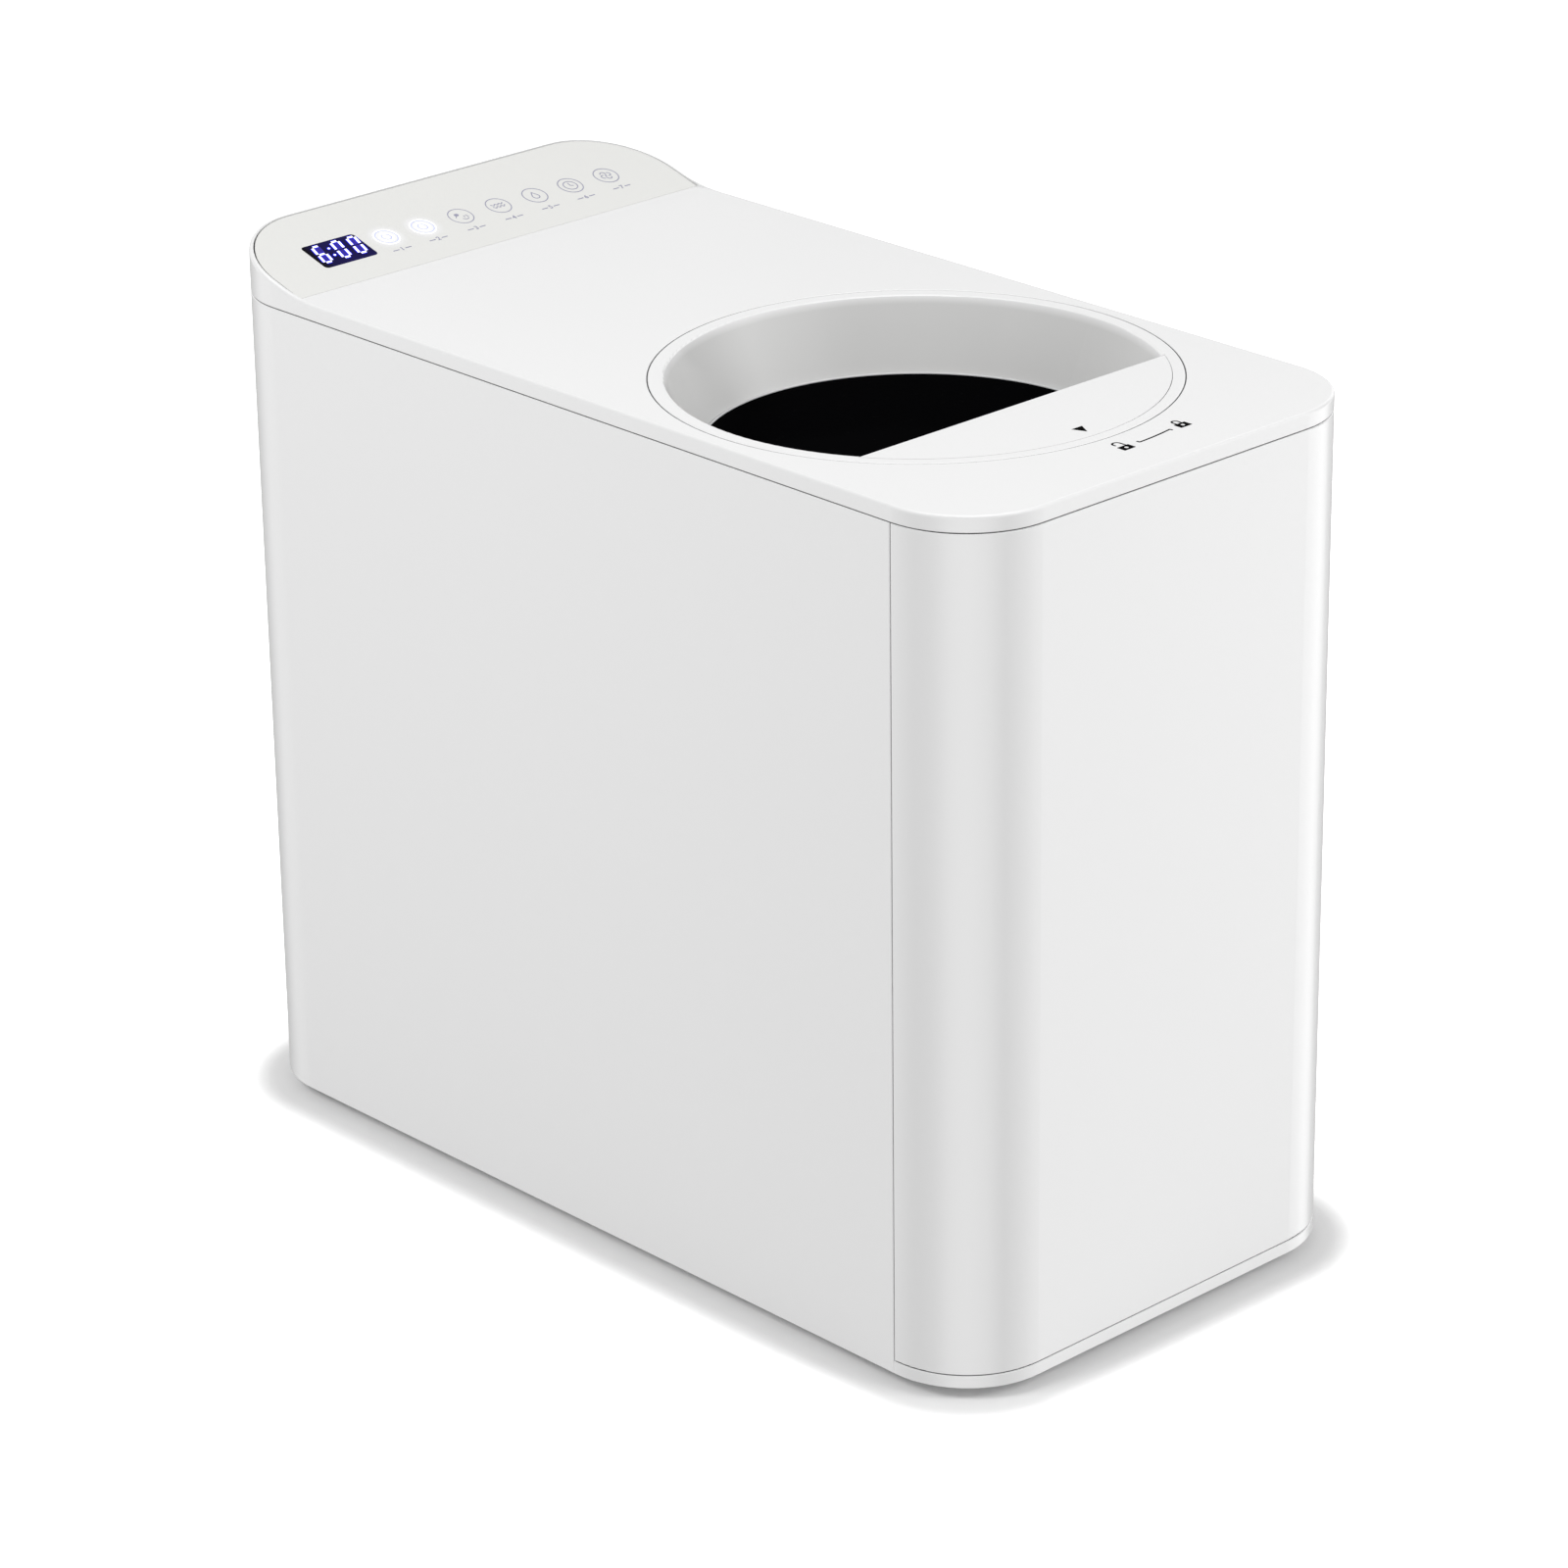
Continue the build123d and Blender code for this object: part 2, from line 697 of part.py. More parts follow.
def top_cover():
    cover = cover_profile(0) & outline(0, z_shell, z_rear + over)
    cover = fillet(skin_edges(cover, z_deck, z_rear), edge_round)
    cover = soften(cover, z_shell, z_shell)
    cover -= cover_profile(deck_t) & outline(wall, z_shell - over, z_rear + over)
    cover -= panel_outline(panel_rim, 0) & above_panel(panel_t, panel_run)
    ridge = outline(panel_rim, z_deck, z_rear)
    cover -= ridge & box(-body_w, body_w, y_crease - panel_run, y_crease, z_deck, z_rear)
    cover -= panel_outline(panel_rim + panel_ledge, panel_ledge) & above_panel(panel_run, panel_run)
    low, top, lip_in = z_shell - cover_lip, z_shell + cover_link_h, wall + fit + cover_lip_t
    lip = outline(wall + fit, low, top) + outline(wall / 2, z_shell, top) - outline(lip_in, low, top)
    lip -= box(-body_w, body_w, y_front, y_seam + rib_gap, low, top)
    cover += lip - at_lid(tube(collar_out_r + fit, 0, low, top))
    cover -= at_lid(tube(lid_r + fit, 0, z_shell - over, z_deck + over))
    return fillet(rings_at(cover, lid_r + fit, z_deck), lid_edge_round)


def control_panel():
    plate = panel_outline(panel_rim + panel_gap, crease_gap) & above_panel(panel_t, panel_t - panel_drop)
    cut = RectangleRounded(display_w + 2 * display_gap, display_h + 2 * display_gap,
                           display_r + display_gap)
    plate -= on_panel(display_x, display_up, -2 * panel_t) * extrude(cut, 3 * panel_t)
    return plate


def display_window():
    glass = RectangleRounded(display_w, display_h, display_r)
    return on_panel(display_x, display_up, -panel_t) * extrude(glass, panel_t - panel_drop)


def touch_board():
    """Circuit board under the control panel, with the display module in its cut-out."""
    width = body_w - 2 * (panel_rim + panel_ledge + touch_board_margin)
    board = Box(width, touch_board_h, board_t, align=(Align.CENTER, Align.CENTER, Align.MAX))
    module_w, module_h = display_w + 2 * display_module_rim, display_h + 2 * display_module_rim
    cut = Box(module_w + 2 * display_module_gap, module_h + 2 * display_module_gap, 3 * board_t)
    module = Box(module_w, module_h, display_module_t, align=(Align.CENTER, Align.CENTER, Align.MAX))
    board_place = on_panel(0, display_up, -panel_t)
    module_place = on_panel(display_x, display_up, -panel_t)
    return group([board_place * board - module_place * cut, module_place * module])


# ---- Chamber: collar, well, heater ----------------------------------------------------
def lug_angles():
    """Directions of the lid's lugs while the lid is unlocked."""
    return [-90 + 360 / lug_count * k for k in range(lug_count)]


def lid_collar():
    low = z_ledge - collar_ledge_t
    collar = tube(collar_out_r, collar_in_r, z_flange, z_deck - deck_t)
    ledge = tube(collar_in_r, ledge_r, low, z_ledge)
    for angle in lug_angles():
        arc = lug_arc + lug_notch_play
        ledge -= sector(collar_in_r, ledge_r - over, low, z_ledge, angle - arc / 2, arc)
    return at_lid(collar + ledge)


def heating_well():
    well = turned([(0, z_well), (well_out_r, z_well), (well_out_r, z_step - well_wall),
                   (mouth_out_r, z_step - well_wall), (mouth_out_r, z_flange - flange_t),
                   (collar_out_r, z_flange - flange_t), (collar_out_r, z_flange), (mouth_r, z_flange),
                   (mouth_r, z_step), (well_r, z_step), (well_r, z_well_in), (0, z_well_in)])
    well -= tube(seal_r, 0, z_well, z_well_in)
    z = z_step + well_slot_lift
    slot = box(mouth_r - over, mouth_out_r + over, -well_slot_w / 2, well_slot_w / 2, z, z + slot_h)
    for k in range(well_slot_count):
        well -= Rot(0, 0, -90 + (k - (well_slot_count - 1) / 2) * well_slot_step) * slot
    return at_lid(well)


def shaft_seal():
    return at_lid(tube(seal_r, shaft_r + running, z_well, z_well_in))


def heater_plate():
    z, pin_y = z_well - heater_t, bucket_r - 2 * heater_margin
    plate = tube(bucket_r - heater_margin, heater_bore_r, z, z_well)
    for x in (-heater_pin_x, heater_pin_x):
        plate += Pos(x, pin_y, 0) * tube(heater_pin_r, 0, z - heater_pin_h, z)
    return at_lid(plate)


def thermostat():
    z = z_well - heater_t - thermostat_t
    middle = (heater_bore_r + bucket_r - heater_margin) / 2
    disc = tube(thermostat_r, 0, z, z_well - heater_t)
    reach = thermostat_r + terminal_tab
    tabs = box(-reach, reach, -terminal_tab_w / 2, terminal_tab_w / 2, z, z + terminal_tab_t)
    return at_lid(Rot(0, 0, thermostat_turn) * Pos(middle, 0, 0) * (disc + tabs))


def insulation_sleeve():
    sleeve = tube(well_out_r + insulation_t, well_out_r, z_well + insulation_low_gap,
                  z_step - well_wall - insulation_top_gap)
    x = manifold_w / 2 + insulation_slit_gap
    sleeve -= box(-x, x, -body_d, 0, z_fan_low() - insulation_slit_gap, z_shell)
    return at_lid(sleeve)


def stand_legs():
    """Directions of the stand's legs round the lid's axis, clear of the gearbox."""
    return [-90, 0, 180]


def chamber_stand():
    stand = tube(well_r, stand_in_r, z_well - stand_t, z_well)
    for angle in stand_legs():
        leg = Pos((stand_in_r + well_r) / 2, 0, 0) * tube(leg_r, screw_r, z_floor, z_well - stand_t)
        stand += Rot(0, 0, angle) * leg
    return at_lid(stand)


# ---- Gearbox and motor ----------------------------------------------------------------
def gearbox_plan(grow):
    """Plan of the gearbox: a tapered slot round the output gear and the motor."""
    big = Pos(0, lid_y) * Circle(gearbox_r + grow)
    small = Pos(0, motor_y) * Circle(gearbox_end_r + grow)
    return make_hull((big + small).edges())


def gearbox_feet():
    """Screw bosses outside the gearbox wall, as (x, y)."""
    out, turn = gearbox_wall + screw_ear_out, radians(screw_ear_turn)
    front, rear = gearbox_r + out, gearbox_end_r + out
    places = [(side * front * cos(turn), lid_y - front * sin(turn)) for side in (-1, 1)]
    places += [(side * rear * cos(turn), motor_y + rear * sin(turn)) for side in (-1, 1)]
    return places


def gearbox_case():
    case = extrude(Pos(0, 0, z_gearbox) * gearbox_plan(gearbox_wall), z_gear_cover - z_gearbox)
    room = extrude(Pos(0, 0, z_gearbox + gearbox_wall) * gearbox_plan(0), z_gear_cover - z_gearbox)
    column = extrude(Pos(0, 0, z_gearbox) * gearbox_plan(0), z_gear_cover - z_gearbox)
    case -= room
    for x, y in gearbox_feet():
        case += Pos(x, y, 0) * tube(screw_ear_r, 0, z_gearbox, z_gear_cover) - column
        case -= Pos(x, y, 0) * tube(screw_r, 0, z_gearbox, z_gear_cover)
    for y in (gear_b_y, gear_a_y):
        case -= Pos(0, y, 0) * tube(gear_pin_r, 0, z_gearbox + blind_t, z_gears)
    case -= at_lid(tube(shaft_r + out_bush_t, 0, z_gearbox + blind_t, z_gears))
    return case


def gearbox_cover():
    bush_r, z_bush = shaft_r + out_bush_t, z_motor + out_bush_h
    cover = extrude(Pos(0, 0, z_gear_cover) * gearbox_plan(gearbox_wall), gearbox_cover_t)
    for x, y in gearbox_feet():
        cover += Pos(x, y, 0) * tube(screw_ear_r, 0, z_gear_cover, z_motor)
        cover -= Pos(x, y, 0) * tube(screw_r, 0, z_gear_cover, z_motor)
    cover += at_lid(tube(bush_r + out_bush_wall, 0, z_motor, z_bush))
    cover -= at_lid(tube(bush_r, 0, z_gear_cover, z_bush))
    for y in (gear_b_y, gear_a_y):
        cover -= Pos(0, y, 0) * tube(gear_pin_r, 0, z_gear_cover, z_motor - blind_t)
    hole_r = module_a * (motor_tooth_count / 2 + gear_addendum) + pinion_gap
    cover -= Pos(0, motor_y, 0) * tube(hole_r, 0, z_gear_cover, z_motor)
    return cover


def output_bushes():
    outer, bore = shaft_r + out_bush_t, shaft_r + running
    low = at_lid(tube(outer, bore, z_gearbox + blind_t, z_gears - bush_gap))
    high = at_lid(tube(outer, bore, z_gear_cover, z_motor + out_bush_h))
    return group([low, high])


def gear_pins():
    return group([Pos(0, y, 0) * tube(gear_pin_r, 0, z_gearbox + blind_t, z_motor - blind_t)
                  for y in (gear_b_y, gear_a_y)])


def output_gear():
    wheel = gear(module_out, out_tooth_count, z_gears, z_gears + out_gear_t, shaft_r, 90)
    hub = tube(2 * shaft_r, shaft_r, z_gears + out_gear_t, z_gears_a)
    return at_lid(wheel + hub)


def output_shaft():
    return at_lid(tube(shaft_r, 0, z_gearbox + blind_t + fit, z_dog_mesh()))


def compound_gear(y, small, big, z_small, z_big, t_small, t_big):
    """Two gears on one hub: small drives the gear in front, big is driven from behind."""
    bore = gear_pin_r + 2 * running
    module, teeth = small
    z0, z1 = z_small - gear_overhang, z_small + t_small + gear_overhang
    low = gear(module, teeth, z0, z1, bore, half_tooth(teeth))
    high = gear(*big, z_big, z_big + t_big, bore, 90)
    hub = tube(gear_pin_r + gear_hub_t, bore, z_gears - gear_gap + gear_hub_gap, z_big)
    return Pos(0, y, 0) * (low + high + hub)


def half_tooth(teeth):
    """Direction of a tooth beside the gap that faces the front, in degrees."""
    return -90 + 180 / teeth


def gear_b():
    return compound_gear(gear_b_y, (module_out, b_small_tooth_count), (module_b, b_big_tooth_count),
                         z_gears, z_gears_b, out_gear_t, b_gear_t)


def gear_a():
    return compound_gear(gear_a_y, (module_b, a_small_tooth_count), (module_a, a_big_tooth_count),
                         z_gears_b, z_gears_a, b_gear_t, a_gear_t)


def at_motor(shape):
    return Pos(0, motor_y, 0) * shape


def motor_can():
    bore, z_plate = motor_shaft_r + running, z_motor + motor_plate_t
    can = tube(motor_r, motor_r - motor_can_t, z_motor, z_motor + motor_h)
    can += tube(motor_r, bore, z_motor, z_plate)
    can += tube(motor_shaft_r + motor_neck_t, bore, z_plate, z_plate + motor_neck_h)
    return at_motor(can)


def motor_end_cap():
    z = z_motor + motor_h
    z_boss_top = z + motor_cap_t + motor_boss_h
    cap = tube(motor_r, 0, z, z + motor_cap_t) + tube(motor_boss_r, 0, z, z_boss_top)
    cap -= tube(motor_shaft_r + running, 0, z, z_boss_top - motor_blind_t)
    for x in (-terminal_x, terminal_x):
        cap += box(x - terminal_t / 2, x + terminal_t / 2, terminal_y - terminal_w / 2,
                   terminal_y + terminal_w / 2, z + motor_cap_t, z_terminal)
    return at_motor(cap)


def motor_magnets():
    outer, arc = motor_r - motor_can_t, motor_magnet_arc
    z0 = z_motor + armature_low - motor_magnet_lap
    z1 = z_motor + motor_h - armature_high + motor_magnet_lap
    return group([at_motor(sector(outer, outer - motor_magnet_t, z0, z1, side - arc / 2, arc))
                  for side in (0, 180)])


def motor_armature():
    """Slotted core, commutator and shaft."""
    z0, z1 = z_motor + armature_low, z_motor + motor_h - armature_high
    core = tube(armature_r, motor_shaft_r, z0, z1)
    half = armature_slot_w / 2
    slot = box(armature_r - armature_slot_depth, armature_r + over, -half, half, z0, z1)
    for k in range(armature_slot_count):
        core -= Rot(0, 0, 360 / armature_slot_count * k) * slot
    z_low = z1 + commutator_gap
    commutator = tube(commutator_r, motor_shaft_r, z_low, z_low + commutator_h)
    z_end = z_motor + motor_h + motor_cap_t + motor_boss_h - motor_blind_t - fit
    shaft = tube(motor_shaft_r, 0, z_gears_a - gear_overhang, z_end)
    return group([at_motor(core), at_motor(commutator), at_motor(shaft)])


def motor_pinion():
    z0, z1 = z_gears_a - gear_overhang, z_gears_a + a_gear_t + gear_overhang
    return at_motor(gear(module_a, motor_tooth_count, z0, z1, motor_shaft_r,
                         half_tooth(motor_tooth_count)))


# ---- Couplings, agitator, bucket -------------------------------------------------------
def z_drive_dog():
    return z_well_in + dog_lift


def z_dog_mesh():
    return z_drive_dog() + dog_plate_t


def drive_dog():
    dog = tube(dog_r, shaft_r, z_drive_dog(), z_dog_mesh())
    for start in (-tooth_arc / 2, 180 - tooth_arc / 2):
        dog += sector(dog_r, shaft_r, z_dog_mesh(), z_dog_mesh() + dog_tooth_h, start, tooth_arc)
    return at_lid(dog)


def agitator_dog():
    low = z_dog_mesh() + dog_gap
    top = low + dog_tooth_h
    dog = tube(dog_r, agitator_shaft_r, top, top + dog_plate_t)
    for start in (90 - tooth_arc / 2, 270 - tooth_arc / 2):
        dog += sector(dog_r, shaft_r, low, top, start, tooth_arc)
    return at_lid(dog)


def z_boss():
    """Underside of the bucket's raised middle, over the coupling."""
    return z_dog_mesh() + dog_gap + dog_tooth_h + dog_plate_t + boss_gap


def bucket():
    top, z_neck = z_boss() + boss_wall, z_boss() + bush_h
    neck = agitator_shaft_r + bush_t
    cup = turned([(boss_r, z_bucket), (bucket_out_r - bucket_chamfer, z_bucket),
                  (bucket_out_r, z_bucket + bucket_chamfer), (bucket_out_r, z_rim - bucket_lip_t),
                  (rim_r, z_rim - bucket_lip_t), (rim_r, z_rim), (bucket_r, z_rim),
                  (bucket_r, z_bucket_in + bucket_cove), (bucket_r - bucket_cove, z_bucket_in),
                  (boss_r + boss_wall, z_bucket_in), (boss_r + boss_wall, top),
                  (neck + boss_wall, top), (neck + boss_wall, z_neck), (neck, z_neck),
                  (neck, z_boss()), (boss_r, z_boss())])
    return at_lid(cup)


def bucket_bush():
    return at_lid(tube(agitator_shaft_r + bush_t, agitator_shaft_r + running, z_boss(), z_boss() + bush_h))


def bucket_fingers():
    """Fixed shredding fingers riveted to the bucket's wall."""
    z, margin = z_bucket_in + finger_z, finger_pad_margin
    blade = box(bucket_r - finger_reach, bucket_r - finger_pad_t / 2, -finger_w / 2, finger_w / 2,
                z, z + finger_t)
    pad = sector(bucket_r, bucket_r - finger_pad_t, z - margin, z + finger_t + margin,
                 -finger_pad_arc / 2, finger_pad_arc)
    return group([at_lid(Rot(0, 0, finger_turn + 360 / finger_count * k) * (blade + pad))
                  for k in range(finger_count)])


def bail_ears():
    ear_r = bail_z - z_rim
    ear = box(pivot_x - ear_t / 2, pivot_x + ear_t / 2, -ear_r, ear_r, z_rim, bail_z)
    ear += Pos(pivot_x, 0, bail_z) * Rot(0, 90, 0) * tube(ear_r, 0, -ear_t / 2, ear_t / 2)
    ear -= Pos(pivot_x, 0, bail_z) * Rot(0, 90, 0) * tube(bail_pin_r + 2 * running, 0, -ear_t, ear_t)
    return mirrored_pair(at_lid(ear))


def bail_mid_r():
    """Radius of the bail's bow, to the middle of its wire."""
    return pivot_x - ear_t / 2 - bail_side_gap - bail_d / 2


def bail_handle():
    """Half-round wire bail lying on the rim, with pins out through the ears."""
    r_mid = bail_mid_r()
    face = Plane.XZ * Pos(r_mid, bail_z) * Circle(bail_d / 2)
    bow = Rot(0, 0, 180) * revolve(face, Axis.Z, revolution_arc=180)
    pin = Pos(0, 0, bail_z) * Rot(0, 90, 0) * tube(bail_pin_r, 0, r_mid, pivot_x + ear_t / 2 + bail_pin_stub)
    end = pin + Pos(r_mid, 0, bail_z) * Sphere(bail_d / 2)
    return at_lid(bow + end + mirror(end, Plane.YZ))


def bail_grip():
    """Sleeve over the middle of the bail."""
    ring = Circle(bail_d / 2 + bail_grip_t) - Circle(bail_d / 2 + running)
    face = Plane.XZ * Pos(bail_mid_r(), bail_z) * ring
    sleeve = revolve(face, Axis.Z, revolution_arc=bail_grip_arc)
    return at_lid(Rot(0, 0, -90 - bail_grip_arc / 2) * sleeve)


def z_hub():
    return z_boss() + bush_h + hub_lift


def agitator_shaft():
    """Shaft and hub, one turned piece."""
    z_foot, z_top = z_dog_mesh() + dog_gap + dog_tooth_h, z_hub() + hub_h
    hub = turned([(0, z_top), (hub_r - hub_cap_in, z_top), (hub_r, z_top - hub_cap_h),
                  (hub_r, z_hub()), (agitator_shaft_r, z_hub()), (agitator_shaft_r, z_foot), (0, z_foot)])
    return at_lid(hub)


def agitator_arms():
    """Two low arms that dip to the floor and two high arms, over and under the fingers."""
    half, end = arm_w / 2, bucket_r - arm_side_gap
    z_low = z_bucket_in + finger_z - arm_finger_gap - arm_t
    z_high = max(z_bucket_in + finger_z + finger_t + arm_finger_gap, z_hub() + high_arm_lift)
    z_root = z_hub() + root_lift
    post_r = boss_r + boss_wall + post_gap
    low = box(post_r, end, -half, half, z_low, z_low + arm_t)
    low += box(post_r, post_r + post_t, -half, half, z_low, z_root + root_t)
    low += box(0, post_r + post_t, -half, half, z_root, z_root + root_t)
    low += box(post_r, bucket_r - scraper_end, -scraper_t / 2, scraper_t / 2,
               z_bucket_in + scraper_gap, z_low)
    high = box(0, end, -half, half, z_high, z_high + arm_t)
    high += box(end - tip_in - tip_t, end - tip_in, -half, half, z_high, z_high + arm_t + tip_h)
    bore = tube(hub_r, 0, z_hub(), z_hub() + hub_h)
    return group([at_lid(Rot(0, 0, turn) * (arm - bore))
                  for arm, turn in ((low, 0), (low, 180), (high, 90), (high, 270))])


# ---- Lid -------------------------------------------------------------------------------
def funnel_r(z):
    """Radius of the recess wall's visible face at height z."""
    return window_r + funnel_run * (z - z_window) / recess_depth


def lid_body():
    back = lid_wall * sqrt(1 + (funnel_run / recess_depth) ** 2)
    z_foot_top, z_groove = z_window + foot_band, z_lid_foot + groove_low
    skirt_in_r, groove_r = skirt_r - skirt_t, foot_out_r - groove_depth
    z_join = z_window + (skirt_in_r - back - window_r) * recess_depth / funnel_run
    lid = turned([(lid_r, z_deck), (lid_r, z_ring_under), (skirt_r, z_ring_under),
                  (skirt_r, z_skirt), (skirt_in_r, z_skirt), (skirt_in_r, z_join),
                  (funnel_r(z_foot_top) + back, z_foot_top), (foot_out_r, z_foot_top),
                  (foot_out_r, z_groove + groove_h), (groove_r, z_groove + groove_h),
                  (groove_r, z_groove), (foot_out_r, z_groove),
                  (foot_out_r, z_lid_foot), (foot_in_r, z_lid_foot),
                  (foot_in_r, z_window), (window_r, z_window), (recess_r, z_deck)])
    lid = fillet(rings_at(lid, recess_r, z_deck), brim_round)
    lid = fillet(rings_at(lid, lid_r, z_deck), lid_edge_round)
    for angle in lug_angles():
        lid += sector(skirt_r + lug_reach, skirt_r - skirt_t / 2, z_lug(), z_lug() + lug_h,
                      angle - lug_arc / 2, lug_arc)
    return at_lid(lid - grip_seat(0))


def z_lug():
    return z_ledge - collar_ledge_t - fit - lug_h


def grip_seat(clear):
    """Segment of the recess that the grip plate fills, in front of the chord."""
    top_r = recess_r + grip_lap - clear
    z_under = z_deck - grip_t
    cone = turned([(0, z_deck), (top_r, z_deck), (top_r - grip_t * funnel_run / recess_depth, z_under),
                   (0, z_under)])
    return cone & box(-lid_r, lid_r, -lid_r, -grip_chord, z_under, z_deck)


def grip_plate():
    plate = grip_seat(grip_gap)
    chord = plate.edges().filter_by(Axis.X).sort_by(Axis.Z)[-1]
    return at_lid(fillet(chord, brim_round))


def window_disc():
    return at_lid(tube(disc_r, 0, z_window - window_t, z_window))


def window_retainer():
    return at_lid(tube(foot_in_r, disc_r - retainer_w, z_retainer, z_retainer + retainer_t))


def lid_magnet():
    outer = skirt_r - skirt_t
    start = 90 - lid_turn - lid_magnet_arc / 2
    return at_lid(sector(outer, outer - lid_magnet_t, z_skirt, z_skirt + lid_magnet_h, start, lid_magnet_arc))


def lid_gasket():
    """Silicone ring held in a groove of the lid's foot, pressing on the well's flange."""
    inner, tongue = foot_out_r + fit, foot_out_r - groove_depth + fit
    z_lip, z_low = z_flange + fit, z_lid_foot + groove_low + fit
    z_high = z_lid_foot + groove_low + groove_h - fit
    return at_lid(turned([(inner, z_lip), (inner + gasket_reach, z_lip),
                          (inner + gasket_reach, z_lip + gasket_t),
                          (inner + gasket_t, z_flange + gasket_root),
                          (inner + gasket_t, z_lid_foot + gasket_top), (inner, z_lid_foot + gasket_top),
                          (inner, z_high), (tongue, z_high), (tongue, z_low), (inner, z_low)]))


def lid_switch():
    y, half, arm = collar_out_r + fit, switch_w / 2, switch_arm_w / 2
    z_top = z_skirt - over + switch_h
    body = box(-half, half, y, y + switch_t, z_skirt - over, z_top)
    body += box(-arm, arm, y, y + switch_arm_t, z_top, z_deck - deck_t)
    return at_lid(body)


# ---- Front drawer ----------------------------------------------------------------------
def drawer_front():
    z0, z1 = z_panel + seam, z_shell - seam
    panel = outline(0, z0, z1) - outline(wall, z0, z1)
    panel &= box(-body_w, body_w, y_front, y_seam, z0, z1)
    panel = soften(panel, z0, z1)
    tab = box(side_in - magnet_w - catch_side_gap, side_in, y_seam - catch_t - tab_t, y_seam - catch_t,
              z_catch, z_catch + magnet_h)
    return panel + tab + mirror(tab, Plane.YZ)


def catch_block(y0, y1):
    """Pair of blocks one behind the other on both sides, from y0 to y1."""
    x1 = side_in - catch_side_gap
    return mirrored_pair(box(x1 - magnet_w, x1, y0, y1, z_catch, z_catch + magnet_h))


def catch_plates():
    return catch_block(y_seam - catch_t, y_seam)


def drawer_magnets():
    return catch_block(y_seam + fit, y_frame)


def filter_tray():
    """Shelf, cheeks and the two runners, one moulding behind the front panel."""
    half, z_shelf = runner_x - runner_w / 2, z_tray + tray_t
    shelf = box(-half, half, y_panel_in, y_cassette_back + tray_back, z_tray, z_shelf)
    cheek = box(cassette_w / 2 + fit, cassette_w / 2 + fit + tray_t, y_panel_in, y_cassette_back,
                z_shelf, z_shelf + cheek_h)
    runner = box(half, half + runner_w, y_panel_in, y_panel_in + runner_len, z_runner, z_runner + runner_h)
    tray = shelf + cheek + mirror(cheek, Plane.YZ) + runner + mirror(runner, Plane.YZ)
    tray &= outline(wall, z_floor, z_shell)
    for row in range(tray_slot_count):
        slot = SlotOverall(cassette_w - 2 * tray_slot_margin, vent_slot)
        y = y_cassette + tray_slot_inset + row * vent_pitch
        tray -= extrude(Pos(0, y, z_tray) * slot, tray_t)
    return tray


def rail_sides():
    """Inner and outer side of the right rail."""
    reach = runner_w / 2 + fit + rail_wall
    return runner_x - reach, runner_x + reach


def drawer_rails():
    """C-shaped rails on the base; the runners slide inside them."""
    x0, x1 = rail_sides()
    y0, y1 = y_cassette_back + rail_front_gap, y_panel_in + runner_len + rail_end_gap
    z_in = z_runner + runner_h + fit
    rail = box(x0, x1, y0, y1, z_floor, z_in + rail_wall)
    rail -= box(x0 + rail_wall, x1 - rail_wall, y0, y1, z_runner - fit, z_in)
    rail -= box(x0, x0 + rail_wall, y0, y1, z_runner + rail_lip, z_in - rail_lip)
    return mirrored_pair(rail)


def z_cassette():
    return z_tray + tray_t


def filter_cassette():
    half, z0, z1 = cassette_w / 2, z_cassette(), z_cassette() + cassette_h
    frame = box(-half, half, y_cassette, y_cassette_back, z0, z1)
    frame -= box(-half + cassette_rim, half - cassette_rim, y_cassette + cassette_wall,
                 y_cassette_back - cassette_wall, z0 + cassette_rim, z1 - cassette_rim)
    pitch = (cassette_w - 2 * cassette_edge) / cassette_window_count
    edge = cassette_edge + cassette_bar
    window = box(cassette_bar / 2, pitch - cassette_bar / 2, 0, cassette_wall, z0 + edge, z1 - edge)
    for k in range(cassette_window_count):
        for y in (y_cassette, y_cassette_back - cassette_wall):
            frame -= Pos(-half + cassette_edge + k * pitch, y, 0) * window
    return frame


def carbon_pad():
    half = cassette_w / 2 - cassette_rim
    return box(-half, half, y_cassette + cassette_wall, y_cassette_back - cassette_wall,
               z_cassette() + cassette_rim, z_cassette() + cassette_h - cassette_rim)


# ---- Fan and manifold --------------------------------------------------------------------
def at_fan(shape):
    """From an upright axis at the origin to the fan's axis, with +Z turned to +Y."""
    return Pos(0, y_fan, fan_z) * Rot(-90, 0, 0) * shape


def fan_screw_places():
    """Screw holes of the fan, round its axis."""
    reach = fan_size / 2 - fan_screw_inset
    return [(x, y) for x in (-reach, reach) for y in (-reach, reach)]


def fan_frame():
    r, z = fan_size / 2, fan_t - fan_strut_t
    frame = extrude(RectangleRounded(fan_size, fan_size, fan_frame_r), fan_t)
    frame -= tube(r - fan_wall, 0, 0, fan_t)
    for x, y in fan_screw_places():
        frame -= Pos(x, y, 0) * tube(screw_r, 0, 0, fan_t)
    frame += tube(fan_hub_r, 0, z, fan_t) + tube(fan_axle_r, 0, fan_axle_gap, z)
    strut = box(fan_hub_r - over, r - over, -fan_strut_w / 2, fan_strut_w / 2, z, fan_t)
    for k in range(fan_strut_count):
        frame += Rot(0, 0, 360 / fan_strut_count * (k + 0.5)) * strut
    return at_fan(frame)


